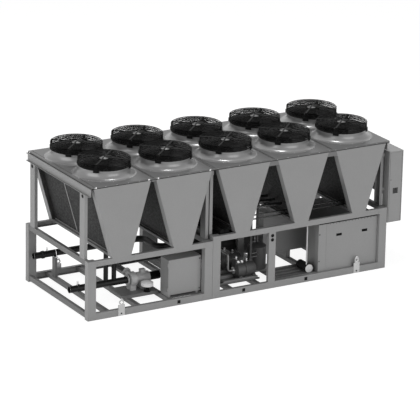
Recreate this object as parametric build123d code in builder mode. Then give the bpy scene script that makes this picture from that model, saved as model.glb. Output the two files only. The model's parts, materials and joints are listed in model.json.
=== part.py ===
"""Air cooled water chiller: open base frame, five V-shaped condenser modules and ten fans.

Millimetres. +X runs along the unit, -Y is the front, +Z is up.
The origin is at floor level, under the middle of the whole unit.
"""
from build123d import *
import os

os.makedirs("parts", exist_ok=True)

# Plan of the unit
module_pitch = 1150.0
module_count_a = 2
module_count_b = 3
end_margin = 45.0
unit_width = 2250.0
section_gap = 4.0
seat_gap = 0.3

# Heights above the floor
base_height_a = 1022.0
base_height_b = 1095.0
deck_height = 2290.0

# Base frame members
post_width = 148.0
post_depth = 112.0
bottom_rail_height = 118.0
top_rail_height = 96.0
rail_thickness = 60.0
end_rail_height = 92.0
end_rail_inset = 8.0
end_rail_lift = 28.0
floor_beam_width = 80.0
floor_beam_height = 70.0
floor_beam_offsets_a = [410.0, 1000.0, 1600.0, 2130.0]
floor_beam_offsets_b = [420.0, 960.0, 1500.0, 2100.0, 2700.0]
bay_post_offset = 1090.0
bay_post_width = 132.0
bay_hole_radius = 26.0
bay_hole_drop = 155.0
bay_hole_pitch = 75.0
rail_sheet = 5.0
fork_hole = 60.0
fork_hole_offset_a = 1710.0
fork_hole_offset_b = 616.0
fork_hole_spacing_b = 1229.0

# Upper posts and deck beams
upper_post_width = 56.0
upper_post_depth = 165.0
upper_post_setback = 155.0
upper_post_sheet = 5.0
upper_post_hole_radius = 28.0
upper_post_hole_drop = 42.0
deck_beam_height = 130.0
end_beam_thickness = 42.0
end_beam_inset = 2.0
end_beam_sheet = 4.0

# V modules
panel_depth = 130.0
panel_sheet = 3.0
panel_top_a = 1055.0
panel_bottom_a = 350.0
panel_top_b = 1000.0
panel_bottom_b = 266.0
coil_thickness = 62.0
coil_edge_gap = 6.0
coil_inset = 64.0
tray_height = 40.0
sill_height = 20.0
sill_sheet = 3.0
divider_width = 26.0
divider_setback = 1310.0
tie_height = 85.0
tie_sheet = 3.0

# Fan deck, cowls, guards and rotors
plate_height = 30.0
plate_sheet = 4.0
plate_gap = 4.0
cowl_sheet = 4.0
cowl_height = 150.0
cowl_lip = 6.0
cowl_flange = 10.0
neck_radius = 424.0
flare_radius = 100.0
fan_row_spacing = 970.0
guard_radius = 440.0
guard_height = 112.0
guard_bar = 14.0
guard_wire = 7.0
guard_ring_count = 5
guard_ring_pitch = 75.0
guard_ring_sides = 24
guard_hoop_count = 2
guard_arm_width = 26.0
rotor_tip_clearance = 9.0
rotor_hub_radius = 130.0
rotor_hub_height = 86.0
rotor_hub_gap = 8.0
blade_count = 6
blade_thickness = 7.0
blade_root_sink = 12.0
blade_root_chord = 130.0
blade_tip_chord = 210.0
blade_root_pitch = 42.0
blade_tip_pitch = 20.0
motor_radius = 92.0
motor_height = 118.0
shaft_radius = 16.0
shaft_clearance = 0.3
shaft_length = 50.0

# Control box in section A
control_width = 620.0
control_depth = 265.0
control_height = 615.0
control_floor = 152.0
control_setback = 118.0
control_sheet = 3.0
control_door_sheet = 18.0
control_door_gap = 2.0
control_post_gap = 8.0
control_foot_width = 40.0
hinge_pin_radius = 5.0
hinge_clearance = 0.3
hinge_knuckle_radius = 9.0
hinge_knuckle_height = 50.0
hinge_bracket_height = 14.0
hinge_offset = 10.0
hinge_recess = 2.0
hinge_bracket_reach = 7.0
hinge_bracket_overlap = 30.0
hinge_margin = 90.0

# Cabinets beyond the right end: a tall side one at the front, and the main one behind it
cabinet_gap = 12.0
cabinet_depth = 280.0
cabinet_drop = 205.0
cabinet_height = 795.0
cabinet_back_margin = 150.0
side_cabinet_width = 180.0
side_cabinet_height = 1270.0
cabinet_joint = 2.0
bracket_height = 60.0
bracket_margin = 60.0

# Water pipes and pump in section A
pipe_radius = 57.0
pipe_bore_radius = 52.0
groove_depth = 3.0
groove_width = 10.0
groove_offset = 16.0
inlet_setback = 670.0
inlet_height = 335.0
inlet_length = 1080.0
outlet_setback = 280.0
outlet_height = 515.0
outlet_run = 2100.0
outlet_head_offset = 70.0
outlet_bend = 140.0
stand_thickness = 40.0
stand_width = 110.0
bed_offset = 1205.0
bed_setback = 640.0
bed_length = 690.0
bed_width = 440.0
bed_height = 60.0
pump_flange_radius = 92.0
pump_flange_sheet = 18.0
pump_neck_radius = 58.0
pump_neck_length = 22.0
volute_radius = 125.0
volute_width = 100.0
adapter_radius = 92.0
adapter_length = 40.0
discharge_radius = 45.0
discharge_rise = 76.0
discharge_reach = 170.0
discharge_flange_radius = 72.0
discharge_flange_sheet = 16.0
discharge_head_offset = 70.0
discharge_bend = 110.0
bypass_radius = 40.0
bypass_offset = 686.0
bypass_spacing = 153.0
bypass_top = 945.0
pump_foot_length = 100.0
pump_foot_width = 160.0
motor_core_radius = 88.0
motor_rib_height = 14.0
motor_rib_sheet = 4.0
motor_rib_sink = 2.0
motor_rib_count = 24
pump_motor_length = 230.0
motor_cover_radius = 72.0
motor_cover_length = 200.0
terminal_box_length = 90.0
terminal_box_width = 76.0
terminal_box_rise = 62.0
vessel_offset = 1350.0
vessel_setback = 450.0
vessel_radius = 105.0
vessel_wall_height = 55.0
vessel_dome_height = 35.0
vessel_stand_radius = 40.0
vessel_stand_height = 106.0

# Evaporator, compressors and receiver in section B
shell_radius = 200.0
shell_length = 1260.0
shell_offset = 260.0
shell_setback = 1350.0
shell_lift = 100.0
shell_head_radius = 176.0
shell_head_length = 60.0
shell_flange_radius = 222.0
shell_flange_sheet = 40.0
saddle_width = 280.0
saddle_rise = 60.0
machine_rail_width = 50.0
machine_rail_height = 60.0
machine_rail_overhang = 40.0
compressor_radius = 132.0
compressor_end_radius = 84.0
compressor_end_length = 34.0
compressor_collar_radius = 144.0
compressor_collar_length = 30.0
compressor_length = 400.0
compressor_offset = 655.0
compressor_setback = 420.0
compressor_spacing = 460.0
compressor_lift = 112.0
compressor_foot_length = 60.0
compressor_foot_width = 290.0
compressor_foot_height = 40.0
compressor_foot_margin = 40.0
compressor_box_length = 150.0
compressor_box_width = 110.0
compressor_box_rise = 190.0
compressor_box_offset = 90.0
port_radius = 34.0
port_rise = 170.0
port_offset = 330.0
receiver_offset = 1250.0
receiver_setback = 650.0
receiver_radius = 160.0
receiver_wall_height = 400.0
receiver_dome_height = 60.0
receiver_rail_spacing = 100.0
inner_post_setback = 1060.0
inner_post_depth = 60.0
inner_post_height = 790.0
riser_radius = 24.0
riser_bend = 90.0
riser_height = 1330.0
coil_pipe_radius = 12.0
coil_pipe_setback = 300.0
coil_pipe_lift = 78.0
coil_pipe_spacing = 70.0
coil_pipe_count = 2

# Inner cabinet, floor tray and equipment box in section B
inner_cabinet_offset = 1585.0
inner_cabinet_length = 1300.0
inner_cabinet_setback = 1000.0
inner_cabinet_depth = 250.0
inner_cabinet_floor = 220.0
floor_tray_offset = 1260.0
floor_tray_length = 820.0
floor_tray_setback = 70.0
floor_tray_width = 490.0
floor_tray_sheet = 3.0
floor_tray_lip = 30.0
floor_tray_ridge = 40.0
floor_tray_ridge_height = 18.0
floor_tray_ridge_count = 3
equipment_offset = 2118.0
equipment_depth = 386.0
equipment_gap = 4.0
equipment_drop = 20.0
equipment_panel_sheet = 20.0
equipment_panel_joint = 2.0
equipment_panel_margin = 6.0
narrow_panel_width = 154.0
handle_pocket_width = 110.0
handle_pocket_height = 45.0
handle_pocket_depth = 14.0
handle_spacing = 518.0
handle_level = 730.0
cover_sheet = 3.0
cover_lip = 24.0
filter_radius = 75.0
filter_length = 300.0
filter_cap_radius = 60.0
filter_cap_length = 12.0
filter_offset = 1965.0
filter_setback = 100.0

# Lifting lugs and seam spacers
lug_width = 120.0
lug_height = 190.0
lug_sheet = 12.0
lug_lift = 4.0
lug_hole_radius = 16.0
lug_hole_level = 42.0
lug_eye_radius = 45.0
lug_eye_hole_radius = 24.0
lug_eye_level = 235.0
lug_offset_a = 620.0
lug_offset_b = 590.0
spacer_width = 90.0
spacer_height = 120.0
spacer_margin = 160.0

# Places worked out from the plan
module_total = module_count_a + module_count_b
frame_length = module_total * module_pitch + end_margin
x_left = -(frame_length + cabinet_gap + cabinet_depth) / 2
x_right = x_left + frame_length
x_seam = x_left + end_margin + module_count_a * module_pitch
y_front = -unit_width / 2
y_back = unit_width / 2
module_x = [x_left + end_margin + (i + 0.5) * module_pitch for i in range(module_total)]
fan_y = [-fan_row_spacing / 2, fan_row_spacing / 2]
fan_points = [(x, y) for x in module_x for y in fan_y]
deck_underside = deck_height - plate_height
cowl_top = deck_height + cowl_height
guard_top = cowl_top + guard_height


def save(part, label):
    """Label a finished piece and write its file."""
    part.label = label
    export_step(part, f"parts/{label}.step")


def span(low, high):
    """Return the middle and the length of a stretch."""
    return (low + high) / 2, high - low


def dome_radius(radius, height):
    """Return the radius of the ball that caps a round vessel with a dome of this height."""
    return (radius**2 + height**2) / (2 * height)


# Lower posts of both sections, a pair at each place along the unit
a_posts_x = [x_left + post_width / 2, x_seam - section_gap / 2 - post_width / 2]
b_posts_x = [x_seam + section_gap / 2 + post_width / 2, x_right - post_width / 2]
bay_post_x = x_seam + bay_post_offset + bay_post_width / 2
post_y = [y_front + post_depth / 2, y_back - post_depth / 2]

with BuildPart() as base_posts:
    with BuildSketch(Plane.XY):
        with Locations([(x, y) for x in a_posts_x for y in post_y]):
            Rectangle(post_width, post_depth)
    extrude(amount=base_height_a)
    with BuildSketch(Plane.XY):
        with Locations([(x, y) for x in b_posts_x for y in post_y]):
            Rectangle(post_width, post_depth)
    extrude(amount=base_height_b)
save(base_posts.part, "base_posts")

# Rails along the unit, between the posts
section_runs = [
    (a_posts_x[0] + post_width / 2, a_posts_x[1] - post_width / 2, base_height_a),
    (b_posts_x[0] + post_width / 2, b_posts_x[1] - post_width / 2, base_height_b),
]
rail_y = [y_front + rail_thickness / 2, y_back - rail_thickness / 2]
channel_y = [y_front + (rail_thickness + rail_sheet) / 2, y_back - (rail_thickness + rail_sheet) / 2]
channel_depth = rail_thickness - rail_sheet


def rail_pair(start, end, floor, height):
    """Make the front and back channel of one run, webs outward, and return them as one part."""
    with BuildPart() as pair:
        with BuildSketch(Plane(origin=(start, 0, 0), x_dir=(0, 1, 0), z_dir=(1, 0, 0))):
            with Locations([(y, floor + height / 2) for y in rail_y]):
                Rectangle(rail_thickness, height)
            with Locations([(y, floor + height / 2) for y in channel_y]):
                Rectangle(channel_depth, height - 2 * rail_sheet, mode=Mode.SUBTRACT)
        extrude(amount=end - start)
    return pair.part


fork_hole_x = [
    x_left + fork_hole_offset_a,
    x_seam + fork_hole_offset_b,
    x_seam + fork_hole_offset_b + fork_hole_spacing_b,
]
bottom_runs = [rail_pair(start, end, 0, bottom_rail_height) for start, end, height in section_runs]
top_runs = [rail_pair(start, end, height - top_rail_height, top_rail_height) for start, end, height in section_runs]

with BuildPart() as base_bottom_rails:
    add(bottom_runs)
    with BuildSketch(Plane.XZ.offset(-y_front)):
        with Locations([(x, bottom_rail_height / 2) for x in fork_hole_x]):
            Rectangle(fork_hole, fork_hole)
    extrude(amount=-unit_width, mode=Mode.SUBTRACT)
save(base_bottom_rails.part, "base_bottom_rails")

with BuildPart() as base_top_rails:
    add(top_runs)
save(base_top_rails.part, "base_top_rails")

# Posts between the rails of section B: channels like the rails, with two round holes near the top
bay_hole_z = [base_height_b - bay_hole_drop, base_height_b - bay_hole_drop - bay_hole_pitch]

with BuildPart() as bay_posts:
    with BuildSketch(Plane.XY.offset(bottom_rail_height)):
        with Locations([(bay_post_x, y) for y in rail_y]):
            Rectangle(bay_post_width, rail_thickness)
        with Locations([(bay_post_x, y) for y in channel_y]):
            Rectangle(bay_post_width - 2 * rail_sheet, channel_depth, mode=Mode.SUBTRACT)
    extrude(amount=base_height_b - top_rail_height - bottom_rail_height)
    with BuildSketch(Plane.XZ.offset(-y_front)):
        with Locations([(bay_post_x, z) for z in bay_hole_z]):
            Circle(bay_hole_radius)
    extrude(amount=-unit_width, mode=Mode.SUBTRACT)
save(bay_posts.part, "bay_posts")

# Spacers between the two sections, low and high on the posts that meet
spacer_floors = [spacer_margin, base_height_a - spacer_margin - spacer_height]

with BuildPart() as seam_spacers:
    for floor in spacer_floors:
        with BuildSketch(Plane.XY.offset(floor)):
            with Locations([(x_seam, y) for y in post_y]):
                Rectangle(section_gap, spacer_width)
        extrude(amount=spacer_height)
save(seam_spacers.part, "seam_spacers")

# Rails across the unit, at each end of both sections
cross_length = unit_width - 2 * post_depth
end_rail_places = [
    (x_left + end_rail_inset + rail_thickness / 2, base_height_a),
    (x_seam - section_gap / 2 - end_rail_inset - rail_thickness / 2, base_height_a),
    (x_seam + section_gap / 2 + end_rail_inset + rail_thickness / 2, base_height_b),
    (x_right - end_rail_inset - rail_thickness / 2, base_height_b),
]

with BuildPart() as end_rails:
    for x, height in end_rail_places:
        with BuildSketch(Plane.XY.offset(end_rail_lift)):
            with Locations((x, 0)):
                Rectangle(rail_thickness, cross_length)
        extrude(amount=end_rail_height)
        with BuildSketch(Plane.XY.offset(height - end_rail_height)):
            with Locations((x, 0)):
                Rectangle(rail_thickness, cross_length)
        extrude(amount=end_rail_height)
save(end_rails.part, "end_rails")

# Floor beams across the unit, between the bottom rails
floor_beam_x = [x_left + offset for offset in floor_beam_offsets_a]
floor_beam_x += [x_seam + offset for offset in floor_beam_offsets_b]
floor_beam_bottom = end_rail_lift
floor_level = floor_beam_bottom + floor_beam_height
floor_beam_length = unit_width - 2 * rail_sheet

with BuildPart() as floor_beams:
    with BuildSketch(Plane.XY.offset(floor_beam_bottom)):
        with Locations([(x, 0) for x in floor_beam_x]):
            Rectangle(floor_beam_width, floor_beam_length)
    extrude(amount=floor_beam_height)
save(floor_beams.part, "floor_beams")

# Upper posts stand on the end rails and carry the deck
upper_post_y = [
    y_front + upper_post_setback + upper_post_depth / 2,
    y_back - upper_post_setback - upper_post_depth / 2,
]
upper_post_places = [
    (x_left + end_rail_inset + upper_post_width / 2, base_height_a),
    (x_seam - section_gap / 2 - end_rail_inset - upper_post_width / 2, base_height_a),
    (x_seam + section_gap / 2 + end_rail_inset + upper_post_width / 2, base_height_b),
    (x_right - end_rail_inset - upper_post_width / 2, base_height_b),
]
deck_beam_bottom = deck_underside - deck_beam_height

upper_post_web_side = [-1, -1, -1, 1]
upper_post_inner = upper_post_width - upper_post_sheet

with BuildPart() as upper_posts:
    for (x, foot), side in zip(upper_post_places, upper_post_web_side):
        inner_x = x - side * upper_post_sheet / 2
        with BuildSketch(Plane.XY.offset(foot)):
            with Locations([(x, y) for y in upper_post_y]):
                Rectangle(upper_post_width, upper_post_depth)
            with Locations([(inner_x, y) for y in upper_post_y]):
                Rectangle(upper_post_inner, upper_post_depth - 2 * upper_post_sheet, mode=Mode.SUBTRACT)
        extrude(amount=deck_beam_bottom - foot)
    with BuildSketch(Plane.YZ.offset(x_left)):
        with Locations([(y, deck_beam_bottom - upper_post_hole_drop) for y in upper_post_y]):
            Circle(upper_post_hole_radius)
    extrude(amount=frame_length, mode=Mode.SUBTRACT)
save(upper_posts.part, "upper_posts")

# Beams across the top of the upper posts
end_beam_reach = end_beam_inset + end_beam_thickness / 2
end_web_reach = end_beam_inset + end_beam_thickness - end_beam_sheet / 2
seam_beam_x = [x for x, foot in upper_post_places[1:3]]

with BuildPart() as deck_beams:
    with BuildSketch(Plane.XY.offset(deck_beam_bottom)):
        with Locations((x_left + end_beam_reach, 0), (x_right - end_beam_reach, 0)):
            Rectangle(end_beam_thickness, unit_width)
        with Locations([(x, 0) for x in seam_beam_x]):
            Rectangle(upper_post_width, unit_width - 2 * panel_depth)
    extrude(amount=deck_beam_height)
    with BuildSketch(Plane.XY.offset(deck_beam_bottom + end_beam_sheet)):
        with Locations((x_left + end_beam_reach, 0), (x_right - end_beam_reach, 0)):
            Rectangle(end_beam_thickness, unit_width)
        with Locations((x_left + end_web_reach, 0), (x_right - end_web_reach, 0)):
            Rectangle(end_beam_sheet, unit_width, mode=Mode.SUBTRACT)
    extrude(amount=deck_beam_height - 2 * end_beam_sheet, mode=Mode.SUBTRACT)
save(deck_beams.part, "deck_beams")


def v_shape(index):
    """Return the top width, bottom width and foot level of one V module."""
    if index < module_count_a:
        return panel_top_a, panel_bottom_a, base_height_a
    return panel_top_b, panel_bottom_b, base_height_b


def v_outline(index):
    """Return the corners of one end panel, from its foot on the left."""
    x = module_x[index]
    top_width, bottom_width, foot = v_shape(index)
    return [
        (x - bottom_width / 2, foot),
        (x + bottom_width / 2, foot),
        (x + top_width / 2, deck_underside),
        (x - top_width / 2, deck_underside),
    ]


def end_panels(y_face, inward):
    """Make five tapered pans whose faces lie at y_face, with returns folded inward on all four sides."""
    with BuildPart() as panels:
        for index in range(module_total):
            with BuildSketch(Plane.XZ.offset(-y_face)):
                with BuildLine():
                    Polyline(*v_outline(index), close=True)
                make_face()
            extrude(amount=-inward * panel_depth)
            with BuildSketch(Plane.XZ.offset(-y_face - inward * panel_sheet)):
                with BuildLine():
                    Polyline(*v_outline(index), close=True)
                make_face()
                offset(amount=-panel_sheet, kind=Kind.INTERSECTION, mode=Mode.REPLACE)
            extrude(amount=-inward * panel_depth, mode=Mode.SUBTRACT)
    return panels.part


save(end_panels(y_front, 1), "v_front_panels")
save(end_panels(y_back, -1), "v_back_panels")

# Ties close the top of the gaps between the panels of section B
tie_y = [y_front, y_back - tie_sheet]

with BuildPart() as panel_ties:
    for index in range(module_count_a, module_total - 1):
        foot_right, top_right = v_outline(index)[1:3]
        foot_left, top_left = v_outline(index + 1)[0], v_outline(index + 1)[3]
        spread = (top_right[0] - foot_right[0]) / (top_right[1] - foot_right[1]) * tie_height
        for y in tie_y:
            with BuildSketch(Plane.XZ.offset(-y)):
                with BuildLine():
                    Polyline(
                        (top_right[0], deck_underside),
                        (top_left[0], deck_underside),
                        (top_left[0] + spread, deck_underside - tie_height),
                        (top_right[0] - spread, deck_underside - tie_height),
                        close=True,
                    )
                make_face()
            extrude(amount=-tie_sheet)
save(panel_ties.part, "panel_ties")

# Slanted condenser coils inside each V
coil_length = unit_width - 2 * panel_depth - 2 * coil_edge_gap


def coil_half(index, z):
    """Return how far the outer face of a coil stands from the middle of its V at height z."""
    top_width, bottom_width, foot = v_shape(index)
    slope = (top_width - bottom_width) / 2 / (deck_underside - foot)
    return bottom_width / 2 + slope * (z - foot) - coil_inset


def slanted_slabs(lift, height, proud, thickness, y_start, length):
    """Make one slab along each coil, from a lift above the foot of its V.

    A slab without a height runs up to the deck. Its outer face stands proud of the coil's.
    """
    with BuildPart() as slabs:
        for index, x in enumerate(module_x):
            low = v_shape(index)[2] + lift
            top = low + height if height else deck_underside - seat_gap
            low_half = coil_half(index, low) + proud
            high_half = coil_half(index, top) + proud
            for side in (-1, 1):
                with BuildSketch(Plane.XZ.offset(-y_start)):
                    with BuildLine():
                        Polyline(
                            (x + side * low_half, low),
                            (x + side * high_half, top),
                            (x + side * (high_half - thickness), top),
                            (x + side * (low_half - thickness), low),
                            close=True,
                        )
                    make_face()
                extrude(amount=-length)
    return slabs.part


coil_start = -coil_length / 2
save(slanted_slabs(tray_height + seat_gap, 0, 0, coil_thickness, coil_start, coil_length), "condenser_coils")

# Sills hold the foot of each coil, and a narrow upright divides its face in two
sill_proud = seat_gap + sill_sheet
divider_lift = tray_height + sill_height + seat_gap
divider_start = y_front + divider_setback - divider_width / 2
coil_sills = slanted_slabs(tray_height, sill_height, sill_proud, sill_sheet, coil_start, coil_length)
coil_dividers = slanted_slabs(divider_lift, 0, sill_proud, sill_sheet, divider_start, divider_width)

with BuildPart() as coil_trims:
    add(coil_sills)
    add(coil_dividers)
save(coil_trims.part, "coil_trims")

# Drain tray closing the bottom of each V
with BuildPart() as v_trays:
    for index, x in enumerate(module_x):
        top_width, bottom_width, foot = v_shape(index)
        with BuildSketch(Plane.XY.offset(foot)):
            with Locations((x, 0)):
                Rectangle(bottom_width, unit_width - 2 * panel_depth)
        extrude(amount=tray_height)
save(v_trays.part, "v_trays")

# Deck plates: a folded square pan over each fan's half of a module, with a round hole
plate_x = module_pitch - plate_gap
plate_y = (unit_width - plate_gap) / 2
plate_centre = fan_row_spacing / 2 - (unit_width + plate_gap) / 4
fan_places = [Location((x, y, 0), (0, 0, 180 if y > 0 else 0)) for x, y in fan_points]
plate_inner = (fan_row_spacing - plate_gap) / 2
flare_foot = neck_radius + flare_radius

with BuildPart() as plate_form:
    with BuildSketch(Plane.XY.offset(deck_underside)):
        with Locations((0, plate_centre)):
            Rectangle(plate_x, plate_y)
    extrude(amount=plate_height)
    with BuildSketch(Plane.XY.offset(deck_underside)):
        with Locations((0, plate_centre)):
            Rectangle(plate_x - 2 * plate_sheet, plate_y - 2 * plate_sheet)
    extrude(amount=plate_height - plate_sheet, mode=Mode.SUBTRACT)
    with BuildSketch(Plane.XY.offset(deck_height)):
        Circle(flare_foot)
    extrude(amount=-plate_height, mode=Mode.SUBTRACT)

with BuildPart() as deck_plates:
    with Locations(fan_places):
        add(plate_form.part)
save(deck_plates.part, "deck_plates")

# Fan cowls: a spun bell mouth with a foot flange and a rolled top lip
neck_foot = deck_height + cowl_sheet + flare_radius
neck_inner = neck_radius - cowl_sheet

with BuildPart() as cowl_form:
    with BuildSketch(Plane.XZ):
        with BuildLine():
            Line((neck_radius, neck_foot), (neck_radius, cowl_top - cowl_lip))
            Polyline(
                (neck_radius, cowl_top - cowl_lip),
                (guard_radius, cowl_top - cowl_lip),
                (guard_radius, cowl_top),
                (neck_inner, cowl_top),
                (neck_inner, neck_foot),
            )
            RadiusArc((neck_inner, neck_foot), (flare_foot, deck_height), -flare_radius - cowl_sheet)
            Polyline(
                (flare_foot, deck_height),
                (flare_foot + cowl_flange, deck_height),
                (flare_foot + cowl_flange, deck_height + cowl_sheet),
                (flare_foot, deck_height + cowl_sheet),
            )
            RadiusArc((flare_foot, deck_height + cowl_sheet), (neck_radius, neck_foot), flare_radius)
        make_face()
    revolve(axis=Axis.Z)
    split(bisect_by=Plane.XZ.offset(-plate_inner), keep=Keep.TOP)

with BuildPart() as fan_cowls:
    with Locations(fan_places):
        add(cowl_form.part)
save(fan_cowls.part, "fan_cowls")

# Guards: a foot ring, four arms that carry the motor, hoops round the side and rings over the top
arm_angles = [45.0, 135.0, 225.0, 315.0]
guard_ring_radii = [guard_radius - i * guard_ring_pitch for i in range(guard_ring_count)]
guard_hoop_pitch = guard_height / (guard_hoop_count + 1)
guard_hoop_z = [cowl_top + seat_gap + (i + 1) * guard_hoop_pitch for i in range(guard_hoop_count)]

with BuildPart() as guard_form:
    with BuildSketch(Plane.XY.offset(cowl_top + seat_gap)):
        Circle(guard_radius)
        Circle(guard_radius - guard_bar, mode=Mode.SUBTRACT)
    extrude(amount=guard_bar)
    for angle in arm_angles:
        turned = Plane(origin=(0, 0, cowl_top + seat_gap)).rotated((0, 0, angle))
        with BuildSketch(turned):
            with Locations((guard_radius - guard_bar / 2, 0)):
                Rectangle(guard_bar, guard_arm_width)
        extrude(amount=guard_height)
        with BuildSketch(turned.offset(guard_height - guard_bar)):
            with Locations((guard_radius / 2, 0)):
                Rectangle(guard_radius, guard_arm_width)
        extrude(amount=guard_bar)
    with BuildSketch(Plane.XY.offset(guard_top + seat_gap - guard_wire)):
        for radius in guard_ring_radii:
            RegularPolygon(radius, guard_ring_sides)
            RegularPolygon(radius - guard_wire, guard_ring_sides, mode=Mode.SUBTRACT)
    extrude(amount=guard_wire)
    for z in guard_hoop_z:
        with BuildSketch(Plane.XY.offset(z)):
            RegularPolygon(guard_radius, guard_ring_sides)
            RegularPolygon(guard_radius - guard_wire, guard_ring_sides, mode=Mode.SUBTRACT)
        extrude(amount=guard_wire)

with BuildPart() as fan_guards:
    with Locations(fan_points):
        add(guard_form.part)
save(fan_guards.part, "fan_guards")

# Motors hang under the middle of each guard, with a short shaft
motor_top = guard_top - guard_bar
motor_bottom = motor_top - motor_height
hub_top = motor_bottom - rotor_hub_gap
hub_bottom = hub_top - rotor_hub_height

with BuildPart() as fan_motors:
    with BuildSketch(Plane.XY.offset(motor_bottom)):
        with Locations(fan_points):
            Circle(motor_radius)
    extrude(amount=motor_height)
    with BuildSketch(Plane.XY.offset(motor_bottom)):
        with Locations(fan_points):
            Circle(shaft_radius)
    extrude(amount=-shaft_length)
save(fan_motors.part, "fan_motors")

# Rotors: a hub with broad pitched blades
blade_tip = neck_radius - cowl_sheet - rotor_tip_clearance
blade_tip_flat = (blade_tip**2 - (blade_tip_chord / 2) ** 2) ** 0.5


def blade_section(radius, chord, pitch):
    """Sketch one flat blade section across the radius."""
    middle = (hub_top + hub_bottom) / 2
    across = Plane(origin=(radius, 0, middle), x_dir=(0, 1, 0), z_dir=(1, 0, 0))
    with BuildSketch(across.rotated((pitch, 0, 0))) as section:
        Rectangle(chord, blade_thickness)
    return section.sketch


with BuildPart() as rotor_form:
    with BuildSketch(Plane.XY.offset(hub_bottom)):
        Circle(rotor_hub_radius)
        Circle(shaft_radius + shaft_clearance, mode=Mode.SUBTRACT)
    extrude(amount=rotor_hub_height)
    root = blade_section(rotor_hub_radius - blade_root_sink, blade_root_chord, blade_root_pitch)
    tip = blade_section(blade_tip_flat, blade_tip_chord, blade_tip_pitch)
    blade = loft([root, tip], mode=Mode.PRIVATE)
    with PolarLocations(0, blade_count):
        add(blade)

for number, (x, y) in enumerate(fan_points, start=1):
    save(Pos(x, y, 0) * rotor_form.part, f"fan_rotor_{number:02d}")

# Control box of section A with a hinged door
control_right = x_seam - section_gap / 2 - post_width - control_post_gap
control_left = control_right - control_width
control_front = y_front + control_setback
control_box_front = control_front + control_door_sheet + control_door_gap
control_middle = (control_left + control_right) / 2
control_body_depth = control_depth - control_door_sheet - control_door_gap

with BuildPart() as control_box:
    with BuildSketch(Plane.XZ.offset(-control_box_front)):
        with Locations((control_middle, control_floor + control_height / 2)):
            Rectangle(control_width, control_height)
    extrude(amount=-control_body_depth)
    with BuildSketch(Plane.XZ.offset(-control_box_front)):
        with Locations((control_middle, control_floor + control_height / 2)):
            Rectangle(control_width - 2 * control_sheet, control_height - 2 * control_sheet)
    extrude(amount=-(control_body_depth - control_sheet), mode=Mode.SUBTRACT)
save(control_box.part, "control_box")

hinge_x = control_left - hinge_offset
hinge_y = control_front + hinge_recess
hinge_z = [control_floor + hinge_margin, control_floor + control_height - hinge_margin]

with BuildPart() as control_box_door:
    with BuildSketch(Plane.XZ.offset(-control_front)):
        with Locations((control_middle, control_floor + control_height / 2)):
            Rectangle(control_width, control_height)
    extrude(amount=-control_door_sheet)
    for z in hinge_z:
        with BuildSketch(Plane.XY.offset(z - hinge_knuckle_height / 2)):
            with Locations((hinge_x + hinge_offset / 2, hinge_y - hinge_recess / 2)):
                Rectangle(hinge_offset, hinge_knuckle_radius, align=(Align.CENTER, Align.MIN))
            with Locations((hinge_x, hinge_y)):
                Circle(hinge_knuckle_radius)
        extrude(amount=hinge_knuckle_height)
        with BuildSketch(Plane.XY.offset(z - hinge_knuckle_height / 2)):
            with Locations((hinge_x, hinge_y)):
                Circle(hinge_pin_radius + hinge_clearance)
        extrude(amount=hinge_knuckle_height, mode=Mode.SUBTRACT)
save(control_box_door.part, "control_box_door")

# Hinge pins stay with the box, held above and below each knuckle
hinge_bracket_y, hinge_bracket_depth = span(hinge_y, control_box_front + hinge_bracket_overlap)
hinge_bracket_x, hinge_bracket_width = span(hinge_x - hinge_bracket_reach, control_left - seat_gap)
pin_length = hinge_knuckle_height + 2 * (seat_gap + hinge_bracket_height)

with BuildPart() as control_box_hinges:
    for z in hinge_z:
        with BuildSketch(Plane.XY.offset(z - pin_length / 2)):
            with Locations((hinge_x, hinge_y)):
                Circle(hinge_pin_radius)
        extrude(amount=pin_length)
        for low in (z - pin_length / 2, z + pin_length / 2 - hinge_bracket_height):
            with BuildSketch(Plane.XY.offset(low)):
                with Locations((hinge_bracket_x, hinge_bracket_y)):
                    Rectangle(hinge_bracket_width, hinge_bracket_depth)
                with Locations((hinge_x, hinge_y)):
                    Circle(hinge_knuckle_radius)
            extrude(amount=hinge_bracket_height)
save(control_box_hinges.part, "control_box_hinges")

# Feet carry the control box from the floor beams
with BuildPart() as control_box_feet:
    with BuildSketch(Plane.XY.offset(floor_level)):
        for x in (floor_beam_x[2], floor_beam_x[3]):
            with Locations((x, control_box_front + control_body_depth / 2)):
                Rectangle(control_foot_width, control_body_depth)
    extrude(amount=control_floor - floor_level)
save(control_box_feet.part, "control_box_feet")

# Cabinets beyond the right end
cabinet_top = deck_height - cabinet_drop
cabinet_floor = cabinet_top - cabinet_height
side_cabinet_floor = cabinet_top - side_cabinet_height
cabinet_x = x_right + cabinet_gap + cabinet_depth / 2
cabinet_front = y_front + side_cabinet_width + cabinet_joint
cabinet_y, cabinet_width = span(cabinet_front, y_back - cabinet_back_margin)

with BuildPart() as side_cabinet:
    with BuildSketch(Plane.XY.offset(side_cabinet_floor)):
        with Locations((cabinet_x, y_front + side_cabinet_width / 2)):
            Rectangle(cabinet_depth, side_cabinet_width)
    extrude(amount=side_cabinet_height)
save(side_cabinet.part, "side_cabinet")

with BuildPart() as electrical_cabinet:
    with BuildSketch(Plane.XY.offset(cabinet_floor)):
        with Locations((cabinet_x, cabinet_y)):
            Rectangle(cabinet_depth, cabinet_width)
    extrude(amount=cabinet_height)
save(electrical_cabinet.part, "electrical_cabinet")

# Brackets hold the cabinets to the upper posts, and a spacer joins the two cabinets
bracket_x, bracket_reach = span(x_right - end_rail_inset, x_right + cabinet_gap)
bracket_floors = [cabinet_floor + bracket_margin, cabinet_top - bracket_margin - bracket_height]

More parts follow.
